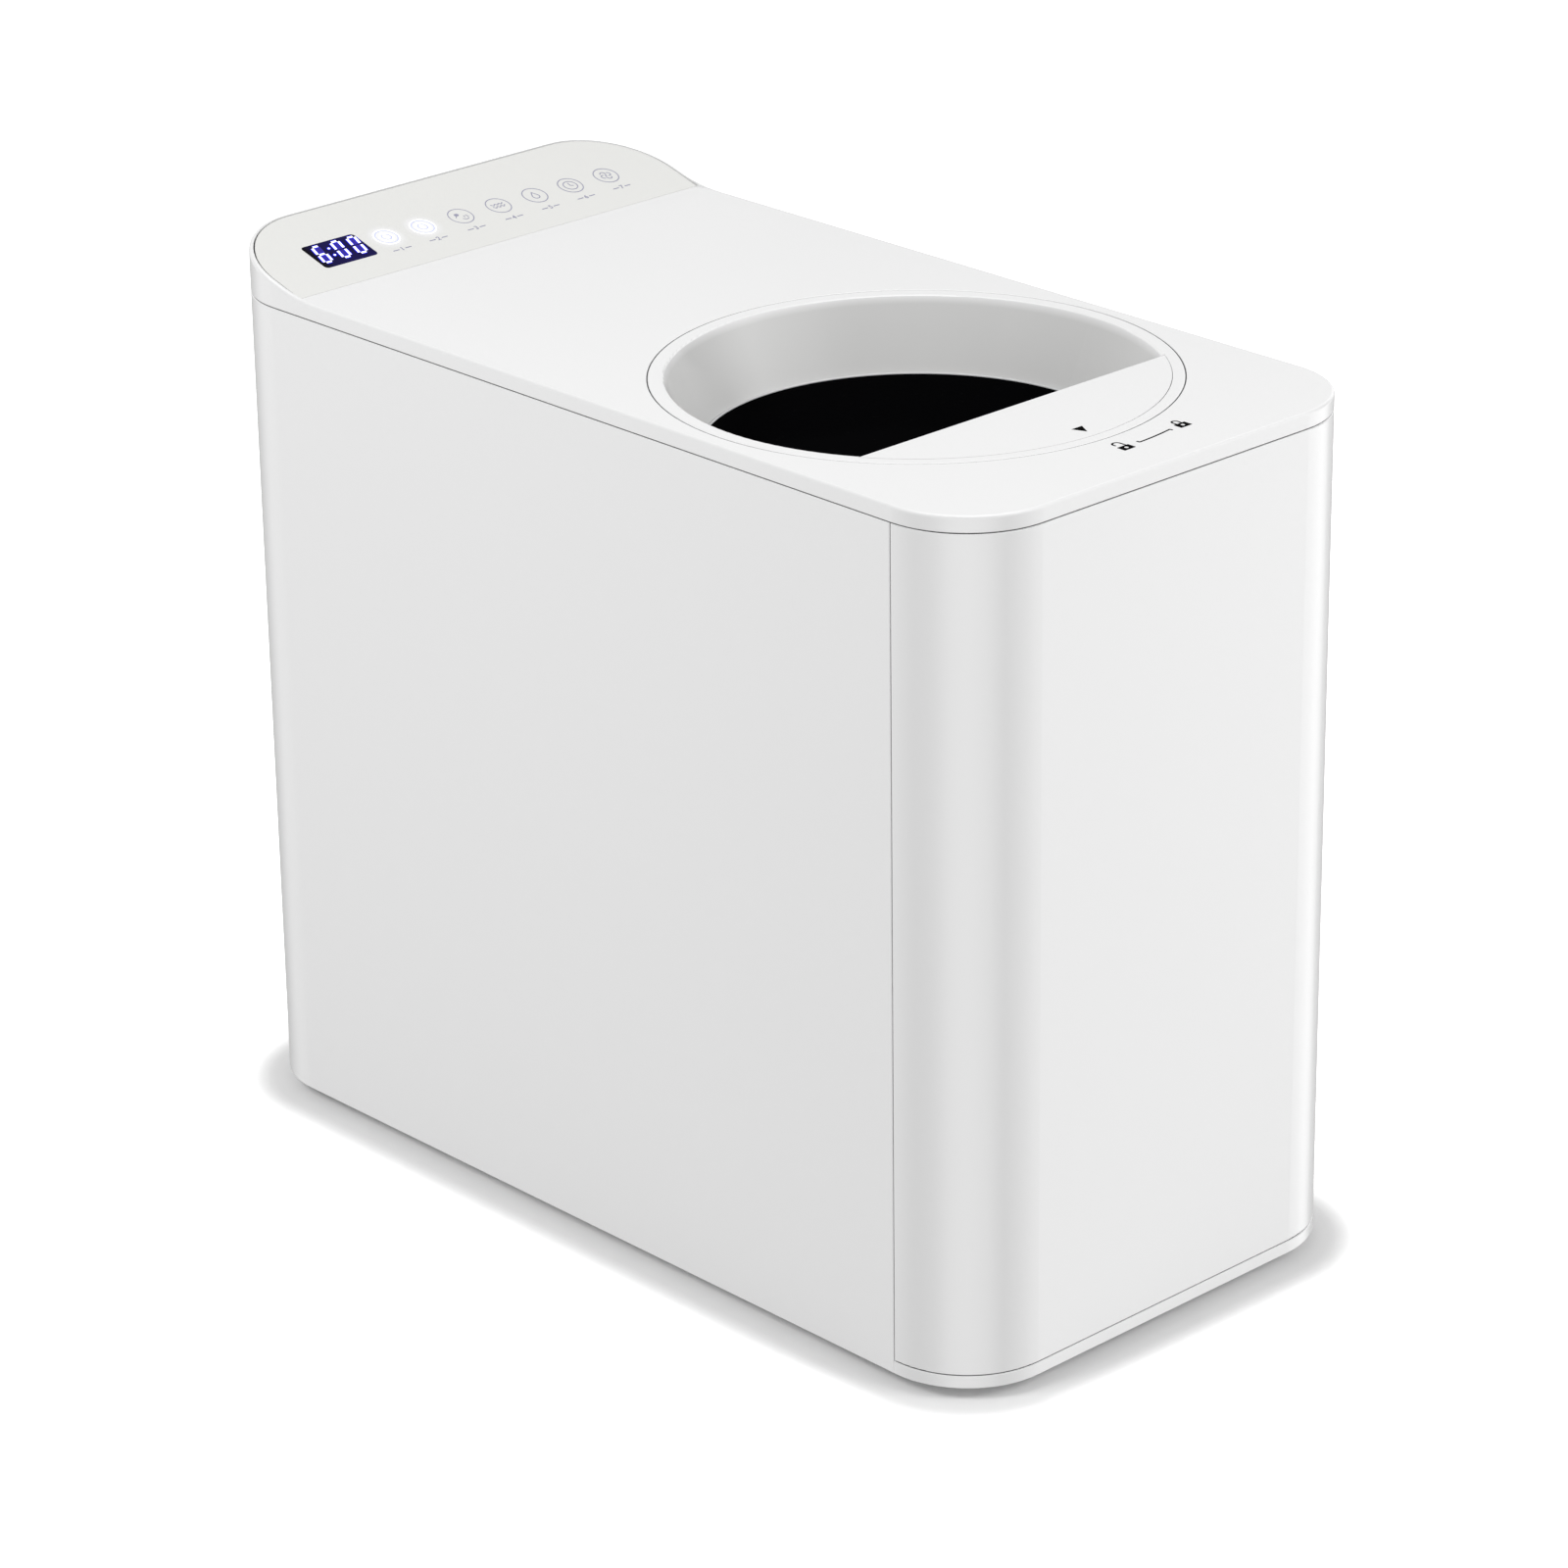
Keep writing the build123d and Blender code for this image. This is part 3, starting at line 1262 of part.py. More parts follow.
def fan_rotor():
    """Cup-shaped hub with its bush and the pitched blades."""
    r, z0, z1 = fan_size / 2 - fan_wall - fan_tip_gap, fan_front_gap, fan_front_gap + fan_hub_t
    z_in, z_axle = z0 + fan_hub_wall, fan_axle_gap - fit
    inner = fan_hub_r - fan_hub_wall
    rotor = tube(fan_hub_r, 0, z0, z1)
    blade = box(inner, r + over, -fan_blade_w / 2, fan_blade_w / 2, -fan_blade_t / 2, fan_blade_t / 2)
    for k in range(fan_blade_count):
        turn = Rot(0, 0, 360 / fan_blade_count * k)
        rotor += turn * Pos(0, 0, fan_blade_z) * Rot(fan_pitch, 0, 0) * blade
    rotor &= tube(r, 0, z0, z0 + fan_blade_room)
    rotor -= tube(inner, 2 * fan_axle_r, z_in, z0 + fan_blade_room)
    return at_fan(rotor - tube(fan_axle_bore_r, 0, z_axle, z0 + fan_blade_room))


def z_fan_low():
    return fan_z - fan_size / 2 - manifold_low


def exhaust_manifold():
    """Duct from the slots under the well's flange down to the fan."""
    x, z0, z1 = manifold_w / 2, z_fan_low(), z_flange - flange_t
    y_back = lid_y - manifold_lap * well_out_r
    duct = box(-x, x, y_frame, y_back, z0, z1)
    duct -= box(-x + manifold_wall, x - manifold_wall, y_frame + manifold_wall, y_back,
                z0 + manifold_wall, z1)
    duct -= at_lid(tube(well_out_r + fit, 0, z0, z1))
    duct -= at_lid(tube(mouth_out_r + fit, 0, z_step - well_wall - fit, z1))
    hole = tube(fan_size / 2 - manifold_ring, 0, 0, manifold_wall)
    return duct - Pos(0, y_frame, fan_z) * Rot(-90, 0, 0) * hole


def front_frame():
    y1, z1 = y_frame + frame_t, z_flange - flange_t
    plate = outline(wall + fit, z_floor, z1) & box(-body_w, body_w, y_frame, y1, z_floor, z1)
    x = manifold_w / 2 + fit
    plate -= box(-x, x, y_frame, y1, z_fan_low() - fit, z1)
    x0, z_rail = rail_sides()[0] - fit, z_runner + runner_h + rail_wall + 2 * fit
    notch = box(x0, body_w, y_frame, y1, z_floor, z_rail)
    return plate - notch - mirror(notch, Plane.YZ)


# ---- Rear compartment --------------------------------------------------------------------
def mains_inlet():
    """Three-pole socket with its pins, flush with the rear wall."""
    w, h, lip = inlet_w / 2, inlet_h / 2, inlet_lip
    y_back, in_w, in_h = y_rear - inlet_depth, inlet_w / 2 - inlet_wall, inlet_h / 2 - inlet_wall
    body = box(-w - lip, w + lip, y_rear - inlet_flange_t, y_rear, -h - lip, h + lip)
    body += box(-w, w, y_back, y_rear, -h, h)
    body -= box(-in_w, in_w, y_back + inlet_back_t, y_rear, -in_h, in_h)
    pin = box(-inlet_pin_w / 2, inlet_pin_w / 2, y_back - inlet_tag, y_rear - inlet_pin_in,
              -inlet_pin_h / 2, inlet_pin_h / 2)
    pins = [Pos(x, 0, z) * pin for x, z in ((-inlet_pin_x, 0), (inlet_pin_x, 0), (0, inlet_earth_z))]
    for one in pins:
        body -= one
    return Pos(inlet_x, 0, inlet_z) * group([body, *pins])


def exhaust_grille():
    grille = extrude(on_rear(RectangleRounded(grille_w, grille_h, grille_r)), wall)
    rows = int((grille_h - 2 * grille_edge) / grille_pitch)
    for k in range(rows):
        slot = Pos(0, (k - (rows - 1) / 2) * grille_pitch)
        slot *= SlotOverall(grille_w - 2 * grille_slot_margin, grille_slot)
        grille -= extrude(on_rear(slot), wall)
    return grille


def board_x():
    return -side_in + standoff


def power_board():
    """Circuit board on the left wall with its transformer, relay, cooler, capacitors and plugs."""
    y0, z0 = board_low()
    board = box(board_x(), board_x() + board_t, y0, y0 + board_w, z0, z0 + board_h)
    for y, z in board_corners():
        board -= Pos(board_x(), y, z) * Rot(0, 90, 0) * tube(screw_r, 0, 0, board_t)
    x = board_x() + board_t
    cooler = on_board(cooler_back)
    for k in range(cooler_fin_count):
        cooler += Pos(0, 0, cooler_fin_pitch * k) * on_board(cooler_fin)
    can = Pos(x, y0, z0 + capacitor_z) * Rot(0, 90, 0) * tube(capacitor_r, 0, 0, capacitor_h)
    cans = [Pos(0, y, 0) * can for y in capacitor_sides]
    half_w, half_h = plug_w / 2, plug_h / 2
    plugs = [box(x, x + plug_t, plug_y() - half_w, plug_y() + half_w, z - half_h, z + half_h)
             for z in plug_heights()]
    return group([board, on_board(transformer), on_board(relay), cooler, *cans, *plugs])


def on_board(block):
    """Block on the power board, from the place and size that its named value gives."""
    side, low, thick, along, up = block
    x, y, z = board_x() + board_t, board_low()[0] + side, board_low()[1] + low
    return box(x, x + thick, y, y + along, z, z + up)


def plug_y():
    return board_low()[0] + plug_side


def plug_heights():
    return [board_low()[1] + plug_low + plug_pitch * k for k in range(plug_count)]


def wiring():
    """Leads from the power board to the mains inlet, the motor and the touch board."""
    x, y = board_x() + board_t + plug_t, plug_y()
    low, middle, high = plug_heights()
    pin_y = y_rear - inlet_depth - inlet_tag
    x_touch = x + touch_lead_x
    touch = on_panel(0, display_up, -panel_t - board_t).position
    routes = []
    for side in (-1, 1):
        y_plug = y + lead_side * side
        x_pin, x_end, y_end = inlet_x + inlet_pin_x * side, terminal_x * side, motor_y + terminal_y
        z_over = z_terminal + lead_rise
        routes.append([(x_pin, pin_y, inlet_z), (x_pin, pin_y - lead_out, inlet_z),
                       (inlet_lead_x, y_plug, low), (x, y_plug, low)])
        routes.append([(x, y_plug, middle), (x + lead_out, y_plug, middle),
                       (x_end, y_end + lead_out, z_over), (x_end, y_end, z_over),
                       (x_end, y_end, z_terminal)])
    routes.append([(x, y, high), (x + touch_lead_out, y, high), (x_touch, touch.Y, high + touch_lead_x),
                   (x_touch, touch.Y, touch.Z - lead_r * tan(slope))])
    return group([cable(route) for route in routes])


def cable(route):
    """Round lead along a route of straight runs and tangent arcs."""
    path = FilletPolyline(*route, radius=lead_bend_r)
    start = Plane(origin=path @ 0, z_dir=path % 0)
    return sweep(start * Circle(lead_r), path=path)


# ---- Screws --------------------------------------------------------------------------------
def screw(length):
    """Pan-head screw with a cross recess, head up, its seat at z = 0."""
    arm, half = screw_recess, screw_recess_w / 2
    head = tube(screw_head_r, 0, 0, screw_head_h)
    head = fillet(rings_at(head, screw_head_r, screw_head_h), screw_head_h / 2)
    for x, y in ((arm, half), (half, arm)):
        head -= box(-x, x, -y, y, screw_head_h - screw_recess_depth, screw_head_h)
    return head + tube(screw_r - screw_play, 0, -length, 0)


def case_screws():
    """Screws of the gearbox, the fan and the power board."""
    short = fit + over
    screws = [Pos(x, y, z_motor) * screw(z_motor - z_gearbox - short) for x, y in gearbox_feet()]
    screws += [at_fan(Pos(x, y, 0) * Rot(180, 0, 0) * screw(fan_t - short)) for x, y in fan_screw_places()]
    screws += [Pos(board_x() + board_t, y, z) * Rot(0, 90, 0) * screw(standoff) for y, z in board_corners()]
    return group(screws)


# ---- Write one STEP file per piece --------------------------------------------------------
pieces = [side_shell, base_tray, rubber_feet, top_cover, control_panel, display_window, touch_board,
          lid_collar, lid_switch, heating_well, shaft_seal, heater_plate, thermostat, insulation_sleeve,
          chamber_stand, gearbox_case, gearbox_cover, output_bushes, gear_pins, motor_can, motor_end_cap,
          motor_magnets, exhaust_manifold, fan_frame, front_frame, drawer_rails, drawer_magnets,
          mains_inlet, exhaust_grille, power_board, wiring, case_screws,
          output_gear, output_shaft, drive_dog, gear_b, gear_a, motor_armature, motor_pinion, fan_rotor,
          bucket, bucket_bush, bucket_fingers, bail_ears, bail_handle, bail_grip,
          agitator_shaft, agitator_arms, agitator_dog,
          lid_body, grip_plate, window_disc, window_retainer, lid_magnet, lid_gasket,
          drawer_front, filter_tray, filter_cassette, carbon_pad, catch_plates]
os.makedirs("parts", exist_ok=True)
for piece in pieces:
    export_step(piece(), f"parts/{piece.__name__}.step")
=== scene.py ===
# %% [markdown]
# # An electric food waste composter
# The machine is a tall white box with a round twist-off lid, a sloping touch panel and a pull-out
# filter drawer behind its front. The construction arrives as a finished frame, and this notebook
# gives it finishes, dark strips of painted shade in its gaps, printed marks, lights and a camera.
# Everything is in metres.

# %% Load the frame
import math

import bmesh
import bpy
from mathutils import Matrix, Vector


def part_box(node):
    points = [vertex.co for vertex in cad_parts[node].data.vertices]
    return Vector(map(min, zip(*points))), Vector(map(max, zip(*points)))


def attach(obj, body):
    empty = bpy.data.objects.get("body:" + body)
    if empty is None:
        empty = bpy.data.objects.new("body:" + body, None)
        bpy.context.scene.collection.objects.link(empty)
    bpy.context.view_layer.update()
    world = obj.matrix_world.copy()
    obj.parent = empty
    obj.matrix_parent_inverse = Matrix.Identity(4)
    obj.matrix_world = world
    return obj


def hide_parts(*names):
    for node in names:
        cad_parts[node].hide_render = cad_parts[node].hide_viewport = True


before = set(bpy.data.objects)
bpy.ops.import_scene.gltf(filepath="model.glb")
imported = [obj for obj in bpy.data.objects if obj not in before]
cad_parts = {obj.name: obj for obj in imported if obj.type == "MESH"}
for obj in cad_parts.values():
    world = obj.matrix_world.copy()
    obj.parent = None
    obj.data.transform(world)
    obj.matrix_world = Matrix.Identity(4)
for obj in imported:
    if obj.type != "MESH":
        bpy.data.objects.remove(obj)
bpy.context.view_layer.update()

MM = 0.001
print("pieces in the frame:", len(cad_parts))

# %% [markdown]
# ## Camera
# A long lens keeps the upright edges nearly parallel. The camera stands front left, a little above
# the deck, and aims at the middle of the body. Its place is given by an azimuth, an elevation, a
# small roll and a distance.

# %% Camera
camera_azimuth = math.radians(-43.172)
camera_elevation = math.radians(22.871)
camera_roll = math.radians(-0.758)
camera_distance = 2.1486
camera_target = Vector((0.00173, 0.0, 0.15242))
sensor_mm = 36.0
lens_mm = 131.4


def aimed(azimuth, elevation, roll, distance, target):
    """Matrix of something that looks at the target from the given side."""
    back = Vector((math.sin(azimuth) * math.cos(elevation),
                   -math.cos(azimuth) * math.cos(elevation), math.sin(elevation)))
    right = Vector((0, 0, 1)).cross(back).normalized()
    up = back.cross(right)
    tilted_right = math.cos(roll) * right + math.sin(roll) * up
    tilted_up = math.cos(roll) * up - math.sin(roll) * right
    turn = Matrix((tilted_right, tilted_up, back)).transposed().to_4x4()
    return Matrix.Translation(target + back * distance) @ turn


camera_data = bpy.data.cameras.new("portrait_camera")
camera_data.lens = lens_mm
camera_data.sensor_width = sensor_mm
camera_data.clip_end = 50
camera = bpy.data.objects.new("portrait_camera", camera_data)
camera.matrix_world = aimed(camera_azimuth, camera_elevation, camera_roll, camera_distance, camera_target)
bpy.context.collection.objects.link(camera)
bpy.context.scene.camera = camera
bpy.context.scene.view_settings.view_transform = "Standard"
print("camera at", [round(v, 3) for v in camera.matrix_world.translation])

# %% [markdown]
# ## Places read from the frame
# The dark strips of painted shade in the gaps and the printed marks have to sit exactly on the
# construction, so their places are worked out from the boxes of the pieces that carry them: the
# deck, the lid's axis, the seams and the crease where the control panel starts to climb.

# %% Places
shell_low, shell_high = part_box("side_shell")
front_low, front_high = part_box("drawer_front")
lid_low, lid_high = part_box("lid_body")
disc_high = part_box("window_disc")[1]
panel_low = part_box("control_panel")[0]
display_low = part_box("display_window")[0]

seam = shell_low.y - front_high.y           # the same gap runs along every seam of the casing
body_half = Vector((shell_high.x, shell_high.y, 0))
corner_radius = 35.7 * MM
z_deck = lid_high.z
z_top_seam = shell_high.z
z_low_seam = front_low.z - seam
lid_axis = Vector((0, (lid_low.y + lid_high.y) / 2, 0))
lid_radius = lid_high.x
lid_gap = 0.3 * MM
disc_radius = disc_high.x
window_radius = disc_radius - 4.6 * MM      # the recess wall stands on the disc's outer rim
panel_slope = math.radians(16.1)
panel_rim = 1.7 * MM
panel_gap = 0.6 * MM
panel_thickness = 1.8 * MM
crease = Vector((0, panel_low.y - 0.3 * MM, z_deck))
print("lid radius", round(lid_radius / MM, 2), "deck", round(z_deck / MM, 2),
      "crease", round(crease.y / MM, 2))


def on_panel(x, up, lift=0.0):
    """Matrix of a place on the control panel, up the slope from the crease."""
    slope = Matrix.Rotation(panel_slope, 4, "X")
    return Matrix.Translation(crease) @ slope @ Matrix.Translation((x, up, lift - 0.1 * MM))


def on_deck(x, y):
    """Matrix of a place on the flat deck."""
    return Matrix.Translation((x, y, z_deck))


# %% [markdown]
# ## Small helpers for materials
# Colours are written as hex values, as a paint card gives them, and turned to linear light once.
# Another helper adds one shader node with its settings and its links, which keeps a material's
# recipe readable as a list.

# %% Colour and node helpers
def linear(hex_colour):
    """Linear RGBA of an sRGB hex colour."""
    channels = [int(hex_colour[i:i + 2], 16) / 255 for i in (1, 3, 5)]
    return [c / 12.92 if c <= 0.04045 else ((c + 0.055) / 1.055) ** 2.4 for c in channels] + [1.0]


def add_node(owner, kind, inputs=None, **settings):
    """One node of the given kind; inputs holds values, or sockets to link from."""
    node = owner.node_tree.nodes.new("ShaderNode" + kind)
    for name, value in settings.items():
        setattr(node, name, value)
    for name, value in (inputs or {}).items():
        if isinstance(value, bpy.types.NodeSocket):
            owner.node_tree.links.new(value, node.inputs[name])
        else:
            node.inputs[name].default_value = value
    return node


def new_material(name):
    """Empty node material and its output node."""
    material = bpy.data.materials.new(name)
    material.use_nodes = True
    material.node_tree.nodes.clear()
    output = material.node_tree.nodes.new("ShaderNodeOutputMaterial")
    return material, output


def mixed(owner, factor, first, second):
    """Colour output that goes from first to second as factor goes from 0 to 1."""
    return add_node(owner, "Mix", {0: factor, 6: first, 7: second}, data_type="RGBA").outputs[2]


# %% [markdown]
# ## A recipe for moulded and machined surfaces
# Most parts here are moulded plastic, drawn sheet or turned metal. What tells them apart is the
# base colour, how rough the surface is, whether it is metal, and the size of its grain. The
# recipe reads Object coordinates, so a grain of 0.4 mm stays 0.4 mm on every piece. A slow mottle
# of a few centimetres shifts the colour a little, as sink marks and handling do.

# %% Surface recipe
mottle_size = 40 * MM


def surface(name, colour, roughness, grain_mm, grain_depth_mm, mottle=0.02, metallic=0.0, stretch=(1, 1, 1),
            coat=0.0, ior=1.5, glow=0.0, painted_recess_shade=None):
    """Principled surface with a fine grain in its bump and a faint mottle in colour and gloss.

    painted_recess_shade is a darker colour painted low down as shade, and the two heights between which it
    gives way to the first.
    """
    material, output = new_material(name)
    place = add_node(material, "TexCoord")
    mapping = add_node(material, "Mapping", {"Vector": place.outputs["Object"], "Scale": stretch})
    grain = add_node(material, "TexNoise", {"Vector": mapping.outputs["Vector"],
                                            "Scale": 1 / (grain_mm * MM), "Detail": 3.0})
    patches = add_node(material, "TexNoise", {"Vector": mapping.outputs["Vector"],
                                              "Scale": 1 / mottle_size, "Detail": 2.0})
    base = linear(colour)
    shade = [c * (1 - mottle) for c in base[:3]] + [1.0]
    tint = mixed(material, patches.outputs["Fac"], base, shade)
    # Painted shade: below the given heights the colour turns darker, standing in for shade in a recess.
    if painted_recess_shade:
        height = add_node(material, "SeparateXYZ", {"Vector": place.outputs["Object"]}).outputs["Z"]
        risen = add_node(material, "MapRange", {"Value": height, "From Min": painted_recess_shade[1], "From Max": painted_recess_shade[2]})
        tint = mixed(material, risen.outputs["Result"], linear(painted_recess_shade[0]), tint)
    gloss = add_node(material, "MapRange", {"Value": grain.outputs["Fac"], "To Min": roughness * 0.9,
                                            "To Max": min(1.0, roughness * 1.1)})
    bump = add_node(material, "Bump", {"Height": grain.outputs["Fac"], "Distance": grain_depth_mm * MM,
                                       "Strength": 1.0})
    skin = add_node(material, "BsdfPrincipled", {"Base Color": tint, "Metallic": metallic,
                                                 "Roughness": gloss.outputs["Result"], "IOR": ior,
                                                 "Normal": bump.outputs["Normal"], "Coat Weight": coat,
                                                 "Coat Roughness": 0.12})
    if glow:
        material.node_tree.links.new(tint, skin.inputs["Emission Color"])
        skin.inputs["Emission Strength"].default_value = glow
    material.node_tree.links.new(skin.outputs["BSDF"], output.inputs["Surface"])
    return material


# %% [markdown]
# ## Finishes
# The casing is ABS from a polished mould: nearly white, satin, with a barely visible ripple. The
# control panel is a hard-coated sheet in a warmer white. The lid's funnel is painted greyer below
# its rim, as painted shade in the recess. Inside, the machine is the usual mix of glass-filled nylon,
# zinc-plated steel, drawn aluminium and acetal gears.

# %% Finishes of the frame's pieces
finishes = {
    "casing_abs": surface("casing_abs", "#F1F1F1", 0.34, 1.6, 0.0012, 0.006, coat=0.9),
    # The funnel wears painted shade: its colour turns greyer below the rim, for the shade in the recess.
    "funnel_abs_painted_shade": surface("funnel_abs_painted_shade", "#F1F1F1", 0.34, 1.6, 0.0012, 0.006, coat=0.9,
                          painted_recess_shade=("#D9D9D8", z_deck - 3 * MM, z_deck - 0.8 * MM)),
    "window_gloss": surface("window_gloss", "#010102", 0.06, 3.0, 0.0005, 0.1, ior=1.012),
    "grey_polypropylene": surface("grey_polypropylene", "#A9ACB0", 0.50, 0.6, 0.012),
    "black_nylon": surface("black_nylon", "#1E1F21", 0.55, 0.4, 0.02, 0.1),
    "black_rubber": surface("black_rubber", "#18181A", 0.75, 0.5, 0.03, 0.15),
    "grey_silicone": surface("grey_silicone", "#C4C6C8", 0.55, 1.2, 0.006),
    "drawn_aluminium": surface("drawn_aluminium", "#D6D8DA", 0.32, 0.35, 0.004, 0.05, 1.0, (1, 1, 0.03)),
    "cast_aluminium": surface("cast_aluminium", "#A9AAAC", 0.55, 0.9, 0.03, 0.1, 1.0),
    "brushed_stainless": surface("brushed_stainless", "#C9CBCD", 0.28, 0.25, 0.003, 0.05, 1.0, (1, 0.05, 1)),
    "zinc_plate": surface("zinc_plate", "#B9BDC2", 0.38, 0.8, 0.004, 0.12, 1.0),
    "wool_felt": surface("wool_felt", "#D8CDB4", 0.95, 0.8, 0.25, 0.2),
    "sintered_bronze": surface("sintered_bronze", "#B08A55", 0.45, 0.2, 0.008, 0.1, 1.0),
    "hobbed_brass": surface("hobbed_brass", "#D9B766", 0.30, 0.3, 0.003, 0.06, 1.0),
    "ferrite": surface("ferrite", "#34353A", 0.60, 0.4, 0.01, 0.1),
    "cable_pvc": surface("cable_pvc", "#26272A", 0.45, 0.6, 0.004, 0.1),
    "ceramic_coating": surface("ceramic_coating", "#4A4B4E", 0.42, 0.5, 0.012, 0.12),
    "acetal": surface("acetal", "#ECE8DC", 0.35, 0.7, 0.002),
    "copper_wire": surface("copper_wire", "#A9653A", 0.40, 0.5, 0.05, 0.2, 1.0, (1, 1, 0.4)),
}

# %% [markdown]
# ## Control panel with two lit touch marks
# The panel is back-lit: behind each of the first two touch marks a lamp shines through the sheet.
# The light is whitest at the mark and fades to a faint blue about a centimetre away. The material
# gets that from the distance to each lamp, so the glow needs no geometry of its own.

# %% Panel material
icon_up = 22.0 * MM
icon_sides = [side * MM for side in (-40.5, -22.6, -3.6, 15.4, 34.0, 52.3, 70.8)]
lit_count = 2
glow_reach = 9 * MM


def panel_material():
    material, output = new_material("panel_polycarbonate")
    place = add_node(material, "TexCoord")
    grain = add_node(material, "TexNoise", {"Vector": place.outputs["Object"], "Scale": 1 / (0.5 * MM),
                                            "Detail": 3.0})
    patches = add_node(material, "TexNoise", {"Vector": place.outputs["Object"], "Scale": 1 / mottle_size})
    tint = mixed(material, patches.outputs["Fac"], linear("#E9E9E6"), linear("#E7E7E4"))
    bump = add_node(material, "Bump", {"Height": grain.outputs["Fac"], "Distance": 0.001 * MM,
                                       "Strength": 1.0})
    glow = None
    for side in icon_sides[:lit_count]:
        lamp = on_panel(side, icon_up).translation
        away = add_node(material, "VectorMath", {0: place.outputs["Object"], 1: lamp}, operation="DISTANCE")
        fade = add_node(material, "MapRange", {"Value": away.outputs["Value"], "From Min": 2.2 * MM,
                                               "From Max": glow_reach, "To Min": 1.0, "To Max": 0.0},
                        interpolation_type="SMOOTHSTEP").outputs["Result"]
        glow = fade if glow is None else add_node(material, "Math", {0: glow, 1: fade},
                                                  operation="MAXIMUM").outputs[0]
    hue = mixed(material, glow, linear("#C9CCFF"), linear("#FFFFFF"))
    strength = add_node(material, "Math", {0: glow, 1: 0.2}, operation="MULTIPLY")
    skin = add_node(material, "BsdfPrincipled", {"Base Color": tint, "Roughness": 0.34, "Coat Weight": 0.45,
                                                 "Coat Roughness": 0.1, "Normal": bump.outputs["Normal"],
                                                 "Emission Color": hue,
                                                 "Emission Strength": strength.outputs[0]})
    material.node_tree.links.new(skin.outputs["BSDF"], output.inputs["Surface"])
    return material


finishes["panel_polycarbonate"] = panel_material()

# %% [markdown]
# ## Display glass
# The display's glass is nearly black at its left end and picks up a violet-blue haze where the
# digits light it from behind. A fine cloud breaks the haze up, as light does in a smoked window.

# %% Display material
def display_material():
    material, output = new_material("display_gloss")
    place = add_node(material, "TexCoord")
    split = add_node(material, "SeparateXYZ", {"Vector": place.outputs["Object"]})
    along = add_node(material, "MapRange", {"Value": split.outputs["X"], "From Min": display_low.x + 0.8 * MM,
                                            "From Max": display_low.x + 5 * MM}).outputs["Result"]
    cloud = add_node(material, "TexNoise", {"Vector": place.outputs["Object"], "Scale": 1 / (4 * MM),
                                            "Detail": 2.0})
    cloudy = add_node(material, "MapRange", {"Value": cloud.outputs["Fac"], "From Min": 0.3, "From Max": 0.7,
                                             "To Min": 0.65, "To Max": 1.0})
    haze = add_node(material, "Math", {0: along, 1: cloudy.outputs["Result"]}, operation="MULTIPLY")
    tint = mixed(material, haze.outputs[0], linear("#07040F"), linear("#1C1656"))
    skin = add_node(material, "BsdfPrincipled", {"Base Color": linear("#060509"), "Roughness": 0.12,
                                                 "IOR": 1.06, "Emission Color": tint,
                                                 "Emission Strength": 0.85})
    material.node_tree.links.new(skin.outputs["BSDF"], output.inputs["Surface"])
    return material


finishes["display_gloss"] = display_material()

# %% [markdown]
# ## Circuit boards and the motor's armature
# Each of these nodes holds several parts, so one colour won't do. The boards are green laminate
# with copper tracks, and whatever stands off them is a dark moulded part. The armature is steel
# along its axis, copper at the commutator and varnished laminations outside.

# %% Board and armature materials
def board_material(name, axis, edge, sign):
    """Green laminate up to the plane edge along the axis, dark parts beyond it on the side of sign."""
    material, output = new_material(name)
    place = add_node(material, "TexCoord")
    split = add_node(material, "SeparateXYZ", {"Vector": place.outputs["Object"]})
    proud = add_node(material, "Math", {0: split.outputs[axis], 1: edge},
                     operation="GREATER_THAN" if sign > 0 else "LESS_THAN")
    track = add_node(material, "TexBrick", {"Vector": place.outputs["Object"], "Scale": 1 / (6 * MM),
                                            "Color1": linear("#14603A"), "Color2": linear("#175F3C"),
                                            "Mortar": linear("#2F8A55"), "Mortar Size": 0.03})
    grain = add_node(material, "TexNoise", {"Vector": place.outputs["Object"], "Scale": 1 / (0.6 * MM)})
    moulded = mixed(material, grain.outputs["Fac"], linear("#232428"), linear("#2E3036"))
    tint = mixed(material, proud.outputs[0], track.outputs["Color"], moulded)
    bump = add_node(material, "Bump", {"Height": grain.outputs["Fac"], "Distance": 0.01 * MM})
    skin = add_node(material, "BsdfPrincipled", {"Base Color": tint, "Roughness": 0.42,
                                                 "Normal": bump.outputs["Normal"]})
    material.node_tree.links.new(skin.outputs["BSDF"], output.inputs["Surface"])
    return material


board_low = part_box("power_board")[0]
laminate = 1.6 * MM
finishes["power_board"] = board_material("power_board", "X", board_low.x + laminate, 1)
touch_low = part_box("touch_board")[0]
finishes["touch_board"] = board_material("touch_board", "Z", touch_low.z, -1)


